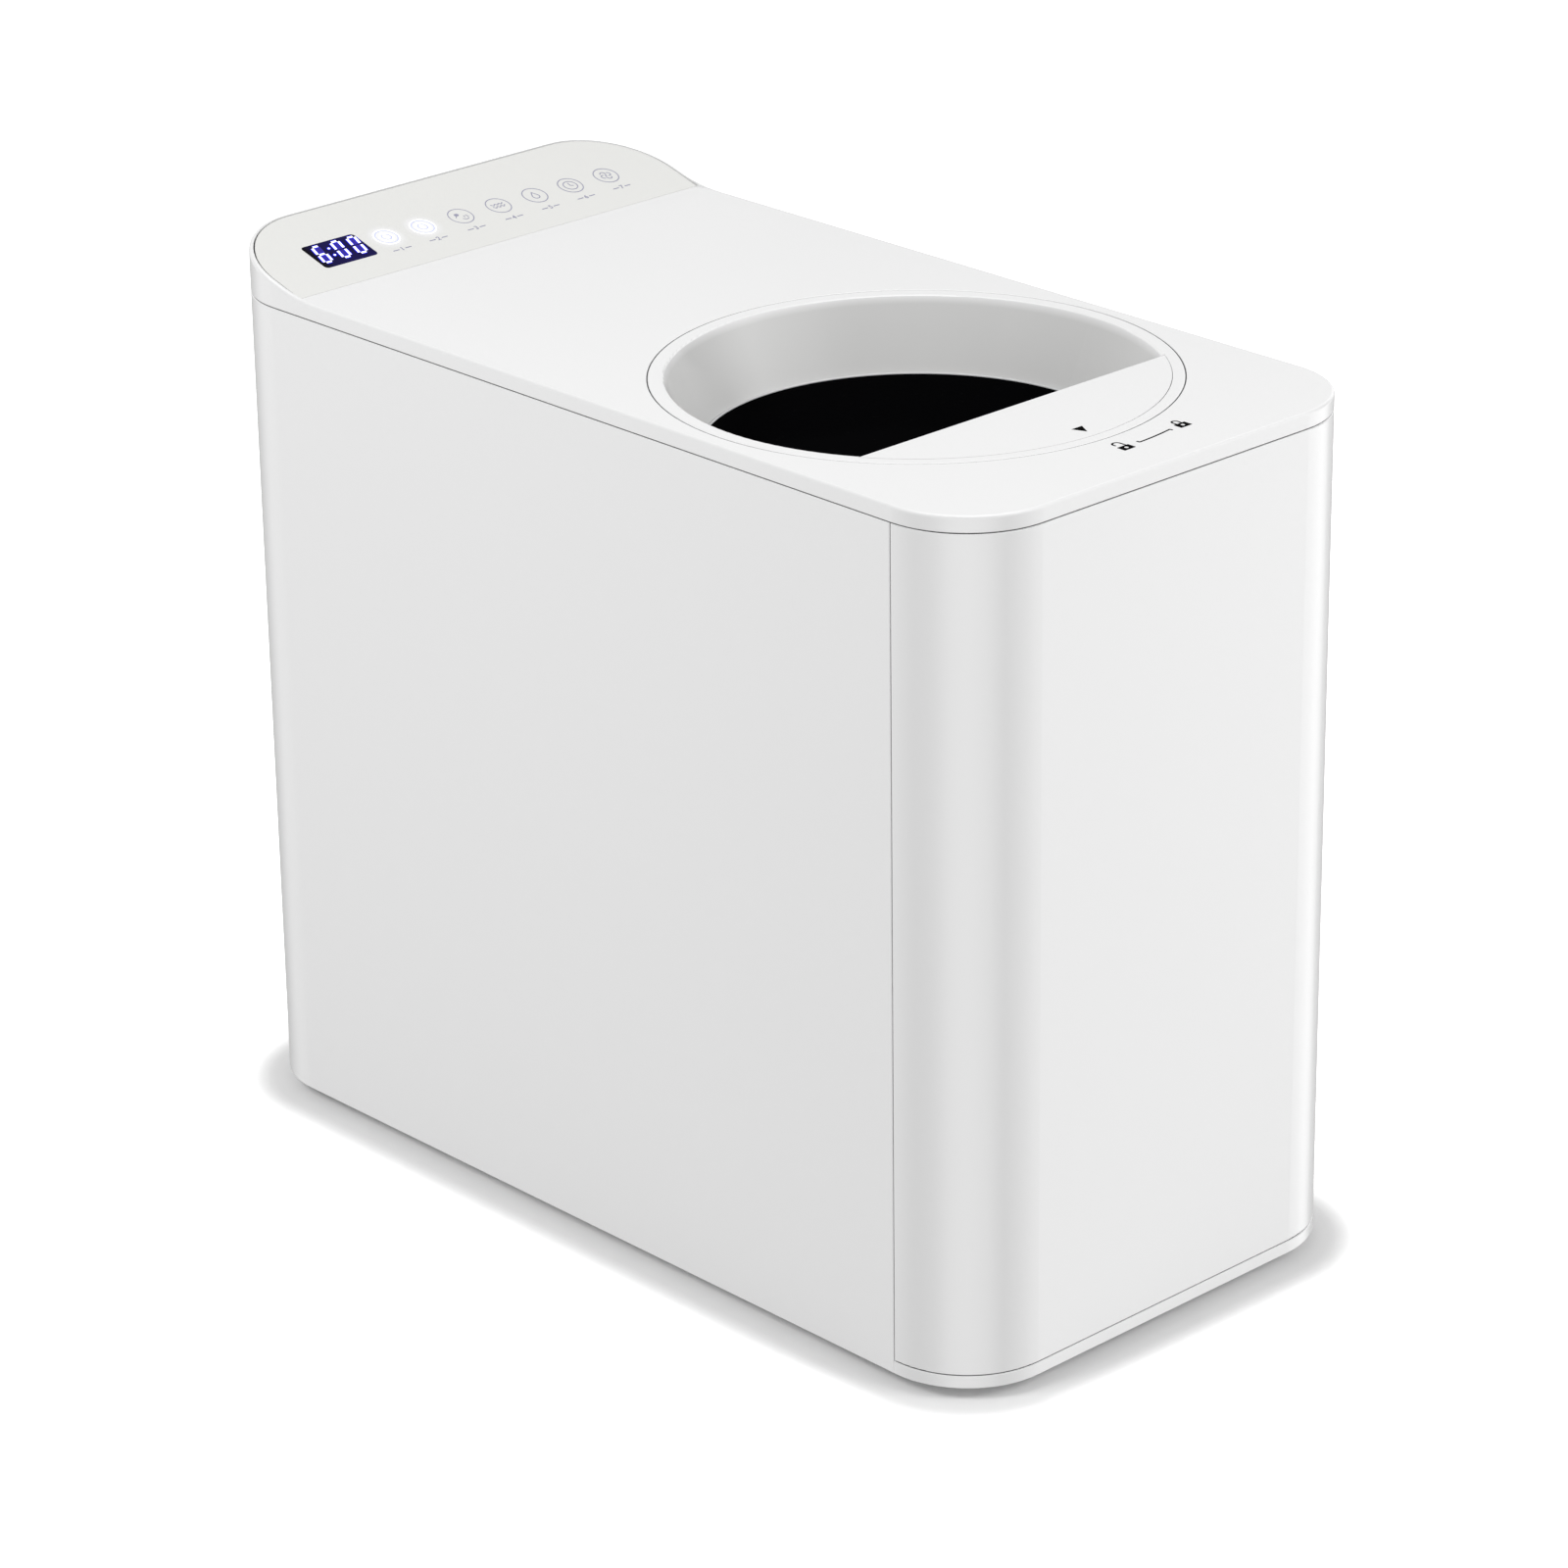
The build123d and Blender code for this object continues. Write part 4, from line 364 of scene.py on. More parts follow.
def armature_material():
    material, output = new_material("armature_mix")
    low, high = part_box("motor_armature")
    place = add_node(material, "TexCoord")
    moved = add_node(material, "VectorMath", {0: place.outputs["Object"],
                                              1: (0, (low.y + high.y) / 2, 0)}, operation="SUBTRACT")
    flat = add_node(material, "VectorMath", {0: moved.outputs[0], 1: (1, 1, 0)}, operation="MULTIPLY")
    radius = add_node(material, "VectorMath", {0: flat.outputs[0]}, operation="LENGTH").outputs["Value"]
    winding = add_node(material, "TexWave", {"Vector": place.outputs["Object"], "Scale": 1 / (8 * MM)},
                       bands_direction="Z")
    copper = mixed(material, winding.outputs["Fac"], linear("#8E4F28"), linear("#C98752"))
    past_shaft = add_node(material, "Math", {0: radius, 1: 3.1 * MM}, operation="GREATER_THAN").outputs[0]
    past_comb = add_node(material, "Math", {0: radius, 1: 9.2 * MM}, operation="GREATER_THAN").outputs[0]
    inner = mixed(material, past_shaft, linear("#B9BDC2"), copper)
    tint = mixed(material, past_comb, inner, linear("#5D5E61"))
    skin = add_node(material, "BsdfPrincipled", {"Base Color": tint, "Metallic": 1.0, "Roughness": 0.4})
    material.node_tree.links.new(skin.outputs["BSDF"], output.inputs["Surface"])
    return material


finishes["armature_mix"] = armature_material()

# %% [markdown]
# ## Who wears what
# Each finish lists the nodes of the frame that wear it. The carbon pad is missing here, because a
# quilted pad is modelled further on and stands in for it.

# %% Put the finishes on
worn_by = {
    "casing_abs": ["side_shell", "base_tray", "top_cover", "grip_plate", "drawer_front"],
    "funnel_abs_painted_shade": ["lid_body"],
    "panel_polycarbonate": ["control_panel"],
    "window_gloss": ["window_disc"],
    "display_gloss": ["display_window"],
    "grey_polypropylene": ["lid_collar", "exhaust_manifold", "drawer_rails", "exhaust_grille",
                           "window_retainer", "agitator_dog", "drive_dog", "filter_tray", "filter_cassette"],
    "black_nylon": ["lid_switch", "gearbox_case", "gearbox_cover", "motor_end_cap", "fan_frame",
                    "mains_inlet", "fan_rotor"],
    "black_rubber": ["rubber_feet", "bail_grip"],
    "grey_silicone": ["shaft_seal", "lid_gasket"],
    "drawn_aluminium": ["heating_well"],
    "cast_aluminium": ["heater_plate"],
    "brushed_stainless": ["agitator_shaft", "agitator_arms", "bucket_fingers", "bail_ears", "bail_handle",
                          "output_shaft"],
    "zinc_plate": ["chamber_stand", "front_frame", "case_screws", "gear_pins", "thermostat", "motor_can",
                   "catch_plates"],
    "wool_felt": ["insulation_sleeve"],
    "sintered_bronze": ["output_bushes", "bucket_bush"],
    "hobbed_brass": ["motor_pinion"],
    "ferrite": ["motor_magnets", "drawer_magnets", "lid_magnet"],
    "power_board": ["power_board"],
    "touch_board": ["touch_board"],
    "cable_pvc": ["wiring"],
    "ceramic_coating": ["bucket"],
    "acetal": ["output_gear", "gear_b", "gear_a"],
    "armature_mix": ["motor_armature"],
}


def wear(piece, material):
    """Put one material on every slot of a piece."""
    piece.data.materials.clear()
    piece.data.materials.append(material)


for finish, nodes in worn_by.items():
    for node in nodes:
        wear(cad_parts[node], finishes[finish])
print("finished nodes:", sum(len(nodes) for nodes in worn_by.values()))

# %% [markdown]
# ## Helpers for the added pieces
# A piece starts as an empty bmesh, is filled by mesh operators, and ends as an object at the
# origin that rides on one body of the machine. `thicken` turns flat faces into closed plates.

# %% Piece helpers
def finished(name, bm, material, body):
    """Make a bmesh into a named piece that wears a material and rides on a body."""
    bmesh.ops.recalc_face_normals(bm, faces=bm.faces)
    mesh = bpy.data.meshes.new(name)
    bm.to_mesh(mesh)
    bm.free()
    piece = bpy.data.objects.new(name, mesh)
    bpy.context.collection.objects.link(piece)
    wear(piece, material)
    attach(piece, body)
    return piece


def thicken(bm, faces, vector):
    """Extrude flat faces along a vector, so that they become a closed plate."""
    made = bmesh.ops.extrude_face_region(bm, geom=faces)["geom"]
    bmesh.ops.translate(bm, vec=vector, verts=[v for v in made if isinstance(v, bmesh.types.BMVert)])


def loop_edges(verts):
    """Edges that join the vertices of a loop."""
    return list({edge for vert in verts for edge in vert.link_edges})


# %% [markdown]
# ## Painted shade in the seams
# The casing's pieces don't touch: a seam of 0.4 mm is left all round, and a dark strip lies a
# little way in as painted shade, which is why the seams read as fine dark lines. The strip's plan
# is the casing's rounded outline, made from a circle whose four quarters are pushed out to the corners.

# %% Painted shade in the seams
# Painted shade: this dark finish goes on strips in the seams and gaps, standing in for the shade inside them.
finishes["painted_gap_shade"] = surface("painted_gap_shade", "#4A4B4D", 0.85, 0.3, 0.02, 0.1)
seam_shade_outer = 0.5 * MM
seam_shade_inner = 2.2 * MM
seam_shade_play = 0.03 * MM
corner_steps = 32


def casing_loop(bm, inset, z):
    """Closed loop of vertices along the casing's rounded plan, moved in by inset."""
    steps = 4 * corner_steps
    half_step = Matrix.Rotation(math.pi / steps, 4, "Z")
    loop = bmesh.ops.create_circle(bm, segments=steps, radius=corner_radius - inset,
                                   matrix=half_step)["verts"]
    for vert in loop:
        vert.co.x += math.copysign(body_half.x - corner_radius, vert.co.x)
        vert.co.y += math.copysign(body_half.y - corner_radius, vert.co.y)
        vert.co.z = z
    return loop


def casing_band(bm, outer, inner, z0, z1):
    """Flat ring between two insets of the casing's plan, from z0 to z1."""
    edges = loop_edges(casing_loop(bm, outer, z0)) + loop_edges(casing_loop(bm, inner, z0))
    faces = bmesh.ops.bridge_loops(bm, edges=edges)["faces"]
    thicken(bm, faces, (0, 0, z1 - z0))


def keep_side(bm, plane_y, sign):
    """Cut everything at plane_y and keep the rear for sign 1 or the front for sign -1."""
    geom = bm.verts[:] + bm.edges[:] + bm.faces[:]
    bmesh.ops.bisect_plane(bm, geom=geom, plane_co=(0, plane_y, 0), plane_no=(0, -sign, 0), clear_outer=True)
    bmesh.ops.holes_fill(bm, edges=[edge for edge in bm.edges if edge.is_boundary])


# Painted shade: a dark strip in the top seam and one in the low seam.
bm = bmesh.new()
casing_band(bm, seam_shade_outer, seam_shade_inner, z_top_seam + seam_shade_play, z_top_seam + seam - seam_shade_play)
finished("top_seam_painted_shade", bm, finishes["painted_gap_shade"], "housing")

bm = bmesh.new()
casing_band(bm, seam_shade_outer, seam_shade_inner, z_low_seam + seam_shade_play, z_low_seam + seam - seam_shade_play)
keep_side(bm, front_high.y, -1)
finished("low_seam_painted_shade", bm, finishes["painted_gap_shade"], "housing")

# Painted shade: a dark strip in each upright seam beside the drawer front.
for side_name, side in (("left", -1), ("right", 1)):
    bm = bmesh.new()
    strip = bmesh.ops.create_cube(bm, size=1)["verts"]
    height = z_top_seam - z_low_seam - seam
    bmesh.ops.scale(bm, vec=(seam_shade_inner - seam_shade_outer, seam - 2 * seam_shade_play, height), verts=strip)
    middle = (side * (body_half.x - (seam_shade_outer + seam_shade_inner) / 2), front_high.y + seam / 2,
              z_low_seam + seam + height / 2)
    bmesh.ops.translate(bm, vec=middle, verts=strip)
    bmesh.ops.bevel(bm, geom=bm.edges[:], offset=0.05 * MM, affect="EDGES", segments=2, profile=0.5,
                    material=-1)
    finished(side_name + "_seam_painted_shade", bm, finishes["painted_gap_shade"], "housing")

# %% [markdown]
# ## Painted shade round the control panel and the lid
# The panel is a separate plate in a shallow tray. A dark strip lies in the gap round it as painted
# shade, and it climbs with the slope, so a flat ring is sheared up behind the crease. Round the lid,
# a thin dark ring of painted shade stands in the gap between the lid and the cover.

# %% Painted shade round the panel and the lid
gap_shade_depth = 0.9 * MM
gap_shade_play = 0.02 * MM
# Painted shade: a dark strip in the gap round the control panel.
bm = bmesh.new()
casing_band(bm, panel_rim + gap_shade_play, panel_rim + panel_gap - gap_shade_play,
            z_deck - panel_thickness, z_deck - gap_shade_depth)
keep_side(bm, crease.y + seam, 1)
for vert in bm.verts:
    vert.co.z += (vert.co.y - crease.y) * math.tan(panel_slope)
finished("panel_gap_painted_shade", bm, finishes["painted_gap_shade"], "housing")


def turned_ring(bm, profile, centre, steps=192):
    """Ring swept from a closed profile, given as vertices at angle 0, round an upright axis."""
    bmesh.ops.spin(bm, geom=profile + loop_edges(profile), cent=centre, axis=(0, 0, 1),
                   angle=2 * math.pi, steps=steps, use_merge=True)


def profile_box(bm, r0, r1, z0, z1):
    """Four-cornered profile in the XZ plane through the lid's axis."""
    corners = bmesh.ops.create_circle(bm, segments=4, radius=math.sqrt(0.5),
                                      matrix=Matrix.Rotation(math.pi / 4, 4, "Z"))["verts"]
    for vert in corners:
        radius = (r0 + r1) / 2 + vert.co.x * (r1 - r0)
        height = (z0 + z1) / 2 + vert.co.y * (z1 - z0)
        vert.co = lid_axis + Vector((radius, 0, height))
    return corners


# Painted shade: a dark ring in the gap round the lid.
bm = bmesh.new()
ring = profile_box(bm, lid_radius + gap_shade_play, lid_radius + lid_gap - gap_shade_play,
                   z_deck - 2.8 * MM, z_deck - 0.2 * MM)
turned_ring(bm, ring, lid_axis)
finished("lid_gap_painted_shade", bm, finishes["painted_gap_shade"], "housing")

# %% [markdown]
# ## Bead round the window
# Where the recess meets the black window, a round silicone bead lies in the corner. It catches a
# thin line of light all the way round.

# %% Window bead
finishes["pale_silicone"] = surface("pale_silicone", "#DADBDC", 0.35, 0.5, 0.002, 0.02, coat=0.4)
bead_radius = 0.40 * MM
bead_gap = 0.12 * MM
bm = bmesh.new()
bead_place = Matrix.Translation(lid_axis + Vector((window_radius - bead_gap - bead_radius, 0,
                                                   disc_high.z + bead_radius)))
bead = bmesh.ops.create_circle(bm, segments=12, radius=bead_radius,
                               matrix=bead_place @ Matrix.Rotation(math.pi / 2, 4, "X"))["verts"]
turned_ring(bm, bead, lid_axis)
window_bead = finished("window_bead", bm, finishes["pale_silicone"], "lid")
for face in window_bead.data.polygons:
    face.use_smooth = True

# %% [markdown]
# ## Printing
# Marks are thin films of ink on a flat place. A print is built from strokes with round ends,
# discs, rings and arcs, all made from circles. Each one lies a hair higher than the last, so that
# two that cross never share a plane.

# %% Printing helper
class Print:
    """Ink film on one flat place: x to the right, y away from the viewer."""
    film = 0.03 * MM
    hair = 0.001 * MM

    def __init__(self, place):
        self.bm = bmesh.new()
        self.place = place
        self.level = 0

    def lay(self, faces, turn):
        """Thicken flat faces, and move them from their own place to their place on the print."""
        verts = {vert for face in faces for vert in face.verts}
        made = bmesh.ops.extrude_face_region(self.bm, geom=faces)["geom"]
        upper = [v for v in made if isinstance(v, bmesh.types.BMVert)]
        self.level += 1
        bmesh.ops.translate(self.bm, vec=(0, 0, self.film / 2 + self.hair * self.level), verts=upper)
        bmesh.ops.translate(self.bm, vec=(0, 0, -self.film / 2), verts=list(verts - set(upper)))
        bmesh.ops.transform(self.bm, matrix=self.place @ turn, verts=list(verts | set(upper)))

    def disc(self, x, y, radius, width=None, height=None, segments=32):
        """Disc, or with width and height a plate with corners of that radius."""
        stretch_x = (width or 2 * radius) / 2 - radius
        stretch_y = (height or 2 * radius) / 2 - radius
        half_step = Matrix.Rotation(math.pi / segments, 4, "Z")
        verts = bmesh.ops.create_circle(self.bm, cap_ends=True, segments=segments, radius=radius,
                                        matrix=half_step)["verts"]
        for vert in verts:
            vert.co.x += math.copysign(stretch_x, vert.co.x)
            vert.co.y += math.copysign(stretch_y, vert.co.y)
        self.lay(list({face for vert in verts for face in vert.link_faces}), Matrix.Translation((x, y, 0)))

    def stroke(self, points, width):
        """Line with round ends and joints through the points."""
        for (x0, y0), (x1, y1) in zip(points, points[1:]):
            length = math.hypot(x1 - x0, y1 - y0)
            verts = bmesh.ops.create_circle(self.bm, cap_ends=True, segments=16, radius=width / 2,
                                            matrix=Matrix.Rotation(math.pi / 16, 4, "Z"))["verts"]
            for vert in verts:
                vert.co.x += length if vert.co.x > 0 else 0
            turn = Matrix.Translation((x0, y0, 0)) @ Matrix.Rotation(math.atan2(y1 - y0, x1 - x0), 4, "Z")
            self.lay(list({face for vert in verts for face in vert.link_faces}), turn)

    def arc(self, x, y, radius, width, start, sweep, segments=32):
        """Stretch of a ring round (x, y), from the angle start over sweep degrees."""
        inner = self.bm.verts.new((radius - width / 2, 0, 0))
        outer = self.bm.verts.new((radius + width / 2, 0, 0))
        rib = self.bm.edges.new((inner, outer))
        before = set(self.bm.faces)
        bmesh.ops.spin(self.bm, geom=[inner, outer, rib], cent=(0, 0, 0), axis=(0, 0, 1),
                       angle=math.radians(sweep), steps=segments, use_merge=abs(sweep) == 360)
        turn = Matrix.Translation((x, y, 0)) @ Matrix.Rotation(math.radians(start), 4, "Z")
        self.lay([face for face in self.bm.faces if face not in before], turn)

    def ring(self, x, y, radius, width):
        """Whole ring round (x, y)."""
        self.arc(x, y, radius, width, 0, 360, 48)

    def shape(self, points):
        """Filled outline through the points, with sharp corners."""
        verts = bmesh.ops.create_circle(self.bm, cap_ends=True, segments=len(points), radius=1)["verts"]
        for vert, (x, y) in zip(verts, points):
            vert.co = (x, y, 0)
        self.lay(list({face for vert in verts for face in vert.link_faces}), Matrix())

    def done(self, name, material, body, slot):
        return finished(name, self.bm, material, body)


# %% [markdown]
# ## Marks for turning the lid
# A black triangle on the grip plate points at one of two padlocks printed on the cover: open on
# the left, closed on the right. A line with a small tick at each end runs between them, and it
# follows the lid's own curve.

# %% Lid marks
finishes["black_ink"] = surface("black_ink", "#030303", 0.45, 0.2, 0.0, 0.1, ior=1.03)
body_wide, body_tall = 5.5 * MM, 3.9 * MM


def padlock(mark, x, y, shackle_radius, raised):
    """Padlock with its body's middle at (x, y); raised lifts the shackle out on its left side."""
    mark.disc(x, y, 0.25 * MM, body_wide, body_tall)
    top = y + body_tall / 2
    crown = top + 2.9 * MM - shackle_radius + raised
    mark.arc(x, crown, shackle_radius, shackle_ink, 0, 180)
    mark.stroke([(x + shackle_radius, crown), (x + shackle_radius, top - shackle_ink)], shackle_ink)
    mark.stroke([(x - shackle_radius, crown), (x - shackle_radius, top - shackle_ink + 2 * raised)],
                shackle_ink)


shackle_ink = 0.8 * MM
open_x, open_y = -5.0 * MM, -180.2 * MM
closed_x, closed_y = 25.6 * MM, -178.0 * MM

triangle = Print(on_deck(0, 0))
triangle.shape([(-4.9 * MM, -154.0 * MM), (0.4 * MM, -154.0 * MM), (-2.5 * MM, -159.4 * MM)])
triangle.done("lid_pointer", finishes["black_ink"], "lid", "black_plastic")

locks = Print(on_deck(0, 0))
padlock(locks, open_x, open_y, 1.6 * MM, 1.3 * MM)
padlock(locks, closed_x, closed_y, 1.25 * MM, 0.0)
guide_radius = 106.6 * MM
guide_ink = 0.8 * MM
guide_from, guide_to = math.asin(2.1 / 106.6), math.asin(18.9 / 106.6)
locks.arc(lid_axis.x, lid_axis.y, guide_radius, guide_ink, math.degrees(guide_from) - 90,
          math.degrees(guide_to - guide_from))
for angle, reach in ((guide_from, -1.1 * MM), (guide_to, 1.0 * MM)):
    ray_x, ray_y = math.sin(angle), -math.cos(angle)
    ends = [(lid_axis.x + r * ray_x, lid_axis.y + r * ray_y) for r in (guide_radius, guide_radius + reach)]
    locks.stroke(ends, guide_ink)
locks.done("lock_marks", finishes["black_ink"], "housing", "black_plastic")

finishes["white_ink"] = surface("white_ink", "#F4F4F4", 0.45, 0.2, 0.0, 0.02)
keyholes = Print(on_deck(0, 0) @ Matrix.Translation((0, 0, 0.02 * MM)))
for x, y in ((open_x, open_y), (closed_x, closed_y)):
    keyholes.disc(x, y, 0.6 * MM, 1.3 * MM, 1.5 * MM)
keyholes.done("lock_keyholes", finishes["white_ink"], "housing", "white_shell")

# %% [markdown]
# ## Digits of the display
# The time reads 6:00 in seven-segment digits that lean to the right. Each segment is a bar with
# pointed ends, made from a six-sided circle. A wider, bluer copy of every bar lies under the white
# one, because a bright segment spreads light in the glass round it.

# %% Display digits
digit_low, digit_tall, digit_wide = 16.2 * MM, 12.0 * MM, 4.6 * MM
digit_lean = 2.3 / 12.4
digit_lefts = [left * MM for left in (-75.1, -66.1, -58.3)]
segment_gap = 0.12 * MM
segments_of = {"6": "acdefg", "0": "abcdef"}


def segment_ends(name, ink):
    """Ends of one segment in the digit's own frame, from its lower left corner."""
    left, right = ink / 2, digit_wide - ink / 2
    low, middle, high = ink / 2, digit_tall / 2, digit_tall - ink / 2
    return {"a": ((left, high), (right, high)), "b": ((right, high), (right, middle)),
            "c": ((right, middle), (right, low)), "d": ((left, low), (right, low)),
            "e": ((left, middle), (left, low)), "f": ((left, high), (left, middle)),
            "g": ((left, middle), (right, middle))}[name]


def segment(mark, start, end, width, core):
    """Bar with pointed ends between two points, shorter at each end by the gap."""
    (x0, y0), (x1, y1) = start, end
    length = math.hypot(x1 - x0, y1 - y0) - 2 * segment_gap
    verts = bmesh.ops.create_circle(mark.bm, cap_ends=True, segments=6, radius=1.0)["verts"]
    for vert in verts:
        pointed = abs(vert.co.y) < 0.01
        end_x = length / 2 + (width - core) / 2 if pointed else length / 2 - core / 2
        vert.co = (math.copysign(end_x, vert.co.x), 0 if pointed else math.copysign(width / 2, vert.co.y), 0)
    turn = Matrix.Translation(((x0 + x1) / 2, (y0 + y1) / 2, 0))
    turn @= Matrix.Rotation(math.atan2(y1 - y0, x1 - x0), 4, "Z")
    mark.lay(list({face for vert in verts for face in vert.link_faces}), turn)


def display_print(lift, width, core):
    """The whole reading at one stroke width."""
    mark = Print(on_panel(0, digit_low, lift) @ lean)
    for digit, left in zip("600", digit_lefts):
        for name in segments_of[digit]:
            start, end = segment_ends(name, core)
            segment(mark, (start[0] + left, start[1]), (end[0] + left, end[1]), width, core)
    for up in (3.6 * MM, 8.3 * MM):
        mark.disc(colon_side, up, width / 2)
    return mark


segment_ink = 1.0 * MM
colon_side = -68.15 * MM
finishes["digit_haze"] = surface("digit_haze", "#3A3296", 0.4, 1.5, 0.0, 0.35, ior=1.03, glow=0.5)
lean = Matrix.Identity(4)
lean[0][1] = digit_lean
haze = Print(on_panel(0, digit_low) @ lean)
for left in digit_lefts:
    for up in (digit_tall * 0.27, digit_tall * 0.73):
        haze.disc(left + digit_wide / 2, up, 0.5 * MM, digit_wide - segment_ink, digit_tall / 2 - segment_ink)
haze.done("display_haze", finishes["digit_haze"], "housing", "display_glass")
finishes["segment_halo"] = surface("segment_halo", "#2226C8", 0.4, 0.5, 0.0, 0.1, ior=1.03, glow=0.8)
finishes["segment_white"] = surface("segment_white", "#FFFFFF", 0.4, 0.5, 0.0, 0.0, glow=0.9)
display_print(0.04 * MM, segment_ink + 0.9 * MM, segment_ink).done(
    "display_halo", finishes["segment_halo"], "housing", "display_glass")
display_print(0.09 * MM, segment_ink, segment_ink).done(
    "display_digits", finishes["segment_white"], "housing", "display_glass")

# %% [markdown]
# ## Touch marks
# Seven round touch marks stand in a row beside the display, each with a number and two short bars
# below it. The first two are lit: their rings are white lines in the glow of the panel. The other
# five are thin lilac-grey lines with plain pictograms: a leaf, a wave, a drop, a dial and a fan.

# %% Touch marks
finishes["grey_ink"] = surface("grey_ink", "#9696AE", 0.5, 0.2, 0.0, 0.05)
finishes["lit_ink"] = surface("lit_ink", "#FFFFFF", 0.5, 0.2, 0.0, 0.0, glow=0.5)
finishes["lit_shade"] = surface("lit_shade", "#CDD2F2", 0.5, 0.2, 0.0, 0.0, glow=0.14)
mark_radius = 5.1 * MM
thin_ink = 0.38 * MM


def leaf(mark, x, y):
    """Small full leaf on a stalk, beside the arcs of a timer."""
    mark.disc(x - 1.2 * MM, y + 1.3 * MM, 0.75 * MM, 2.0 * MM, 1.7 * MM)
    mark.stroke([(x - 2.6 * MM, y - 0.3 * MM), (x - 1.2 * MM, y + 1.0 * MM)], thin_ink)
    mark.arc(x + 1.1 * MM, y - 1.2 * MM, 1.5 * MM, thin_ink, -160, 120, 12)
    mark.arc(x + 1.1 * MM, y - 1.2 * MM, 1.5 * MM, thin_ink, -20, 70, 8)
    mark.stroke([(x + 1.1 * MM, y - 1.2 * MM), (x + 1.1 * MM, y - 0.3 * MM)], thin_ink)


def wave(mark, x, y):
    """Two rows of a zigzag wave."""
    for up in (-0.8 * MM, 0.9 * MM):
        points = [(x + k * 0.95 * MM, y + up + (0.5 * MM if k % 2 else -0.5 * MM)) for k in range(-3, 4)]
        mark.stroke(points, thin_ink)


def drop(mark, x, y):
    """Water drop: a round foot under a point."""
    mark.arc(x, y - 0.7 * MM, 1.5 * MM, thin_ink, 155, 230, 20)
    mark.stroke([(x - 1.36 * MM, y - 0.07 * MM), (x, y + 2.3 * MM), (x + 1.36 * MM, y - 0.07 * MM)], thin_ink)


def dial(mark, x, y):
    """Dial: an inner ring with a hand."""
    mark.ring(x, y, 2.9 * MM, thin_ink)
    mark.stroke([(x, y), (x, y + 1.7 * MM)], thin_ink)
    mark.stroke([(x, y), (x + 1.1 * MM, y - 0.5 * MM)], thin_ink)


def fan(mark, x, y):
    """Four blades round a hub."""
    mark.disc(x, y, 0.45 * MM)
    for k in range(4):
        turn = math.radians(90 * k + 20)
        mark.arc(x + 1.5 * MM * math.cos(turn), y + 1.5 * MM * math.sin(turn), 1.1 * MM, thin_ink,
                 90 * k - 120, 210, 14)


pictograms = [None, None, leaf, wave, drop, dial, fan]
lit_marks = Print(on_panel(0, icon_up, 0.03 * MM))
lit_shades = Print(on_panel(0, icon_up, 0.0))
plain_marks = Print(on_panel(0, icon_up, 0.02 * MM))
for side, pictogram in zip(icon_sides, pictograms):
    if pictogram is None:
        lit_shades.ring(side, 0, mark_radius - 0.6 * MM, 0.6 * MM)
        lit_shades.ring(side, 0, 2.0 * MM, 0.6 * MM)
        lit_marks.ring(side, 0, mark_radius, 0.55 * MM)
        lit_marks.ring(side, 0, 2.6 * MM, 0.5 * MM)
        lit_marks.stroke([(side, 0.6 * MM), (side, 3.6 * MM)], 0.5 * MM)
    else:
        plain_marks.ring(side, 0, mark_radius, thin_ink)
        pictogram(plain_marks, side, 0)
lit_marks.done("lit_touch_marks", finishes["lit_ink"], "housing", "panel_white")
lit_shades.done("lit_touch_shades", finishes["lit_shade"], "housing", "panel_white")
plain_marks.done("plain_touch_marks", finishes["grey_ink"], "housing", "panel_white")

# %% [markdown]
# ## Numbers under the touch marks
# The numerals are Blender's own plain font, turned into meshes. A short bar stands on each side.

# %% Numbers
number_up = 12.4 * MM
number_tall = 2.3 * MM
numbers = Print(on_panel(0, number_up, 0.02 * MM))
for side in icon_sides:
    for reach in (-1, 1):
        ends = [(side + reach * 1.7 * MM, 0), (side + reach * 4.2 * MM, 0)]
        numbers.stroke(ends, 0.5 * MM)
numbers.done("touch_number_bars", finishes["grey_ink"], "housing", "panel_white")

for number, side in enumerate(icon_sides, start=1):
    text = bpy.data.curves.new("touch_number", "FONT")
    text.body = str(number)
    text.size = number_tall / 0.72              # capitals and digits are about 0.72 of a font's size
    text.align_x = "CENTER"
    text.align_y = "CENTER"
    text.extrude = 0.02 * MM
    text.offset = 0.06 * MM
    holder = bpy.data.objects.new("touch_number", text)
    bpy.context.collection.objects.link(holder)
    bpy.context.view_layer.update()
    mesh = bpy.data.meshes.new_from_object(holder)
    mesh.transform(on_panel(side, number_up, 0.02 * MM))
    bpy.data.objects.remove(holder)
    bm = bmesh.new()
    bm.from_mesh(mesh)
    bpy.data.meshes.remove(mesh)
    finished(f"touch_number_{number}", bm, finishes["grey_ink"], "housing")

# %% [markdown]
# ## Quilted carbon pad
# The odour filter is a flat fleece bag of carbon granules. It fills the cassette's frame, and rows
# of stitching pull it in, so it bulges between them where it shows through the windows.

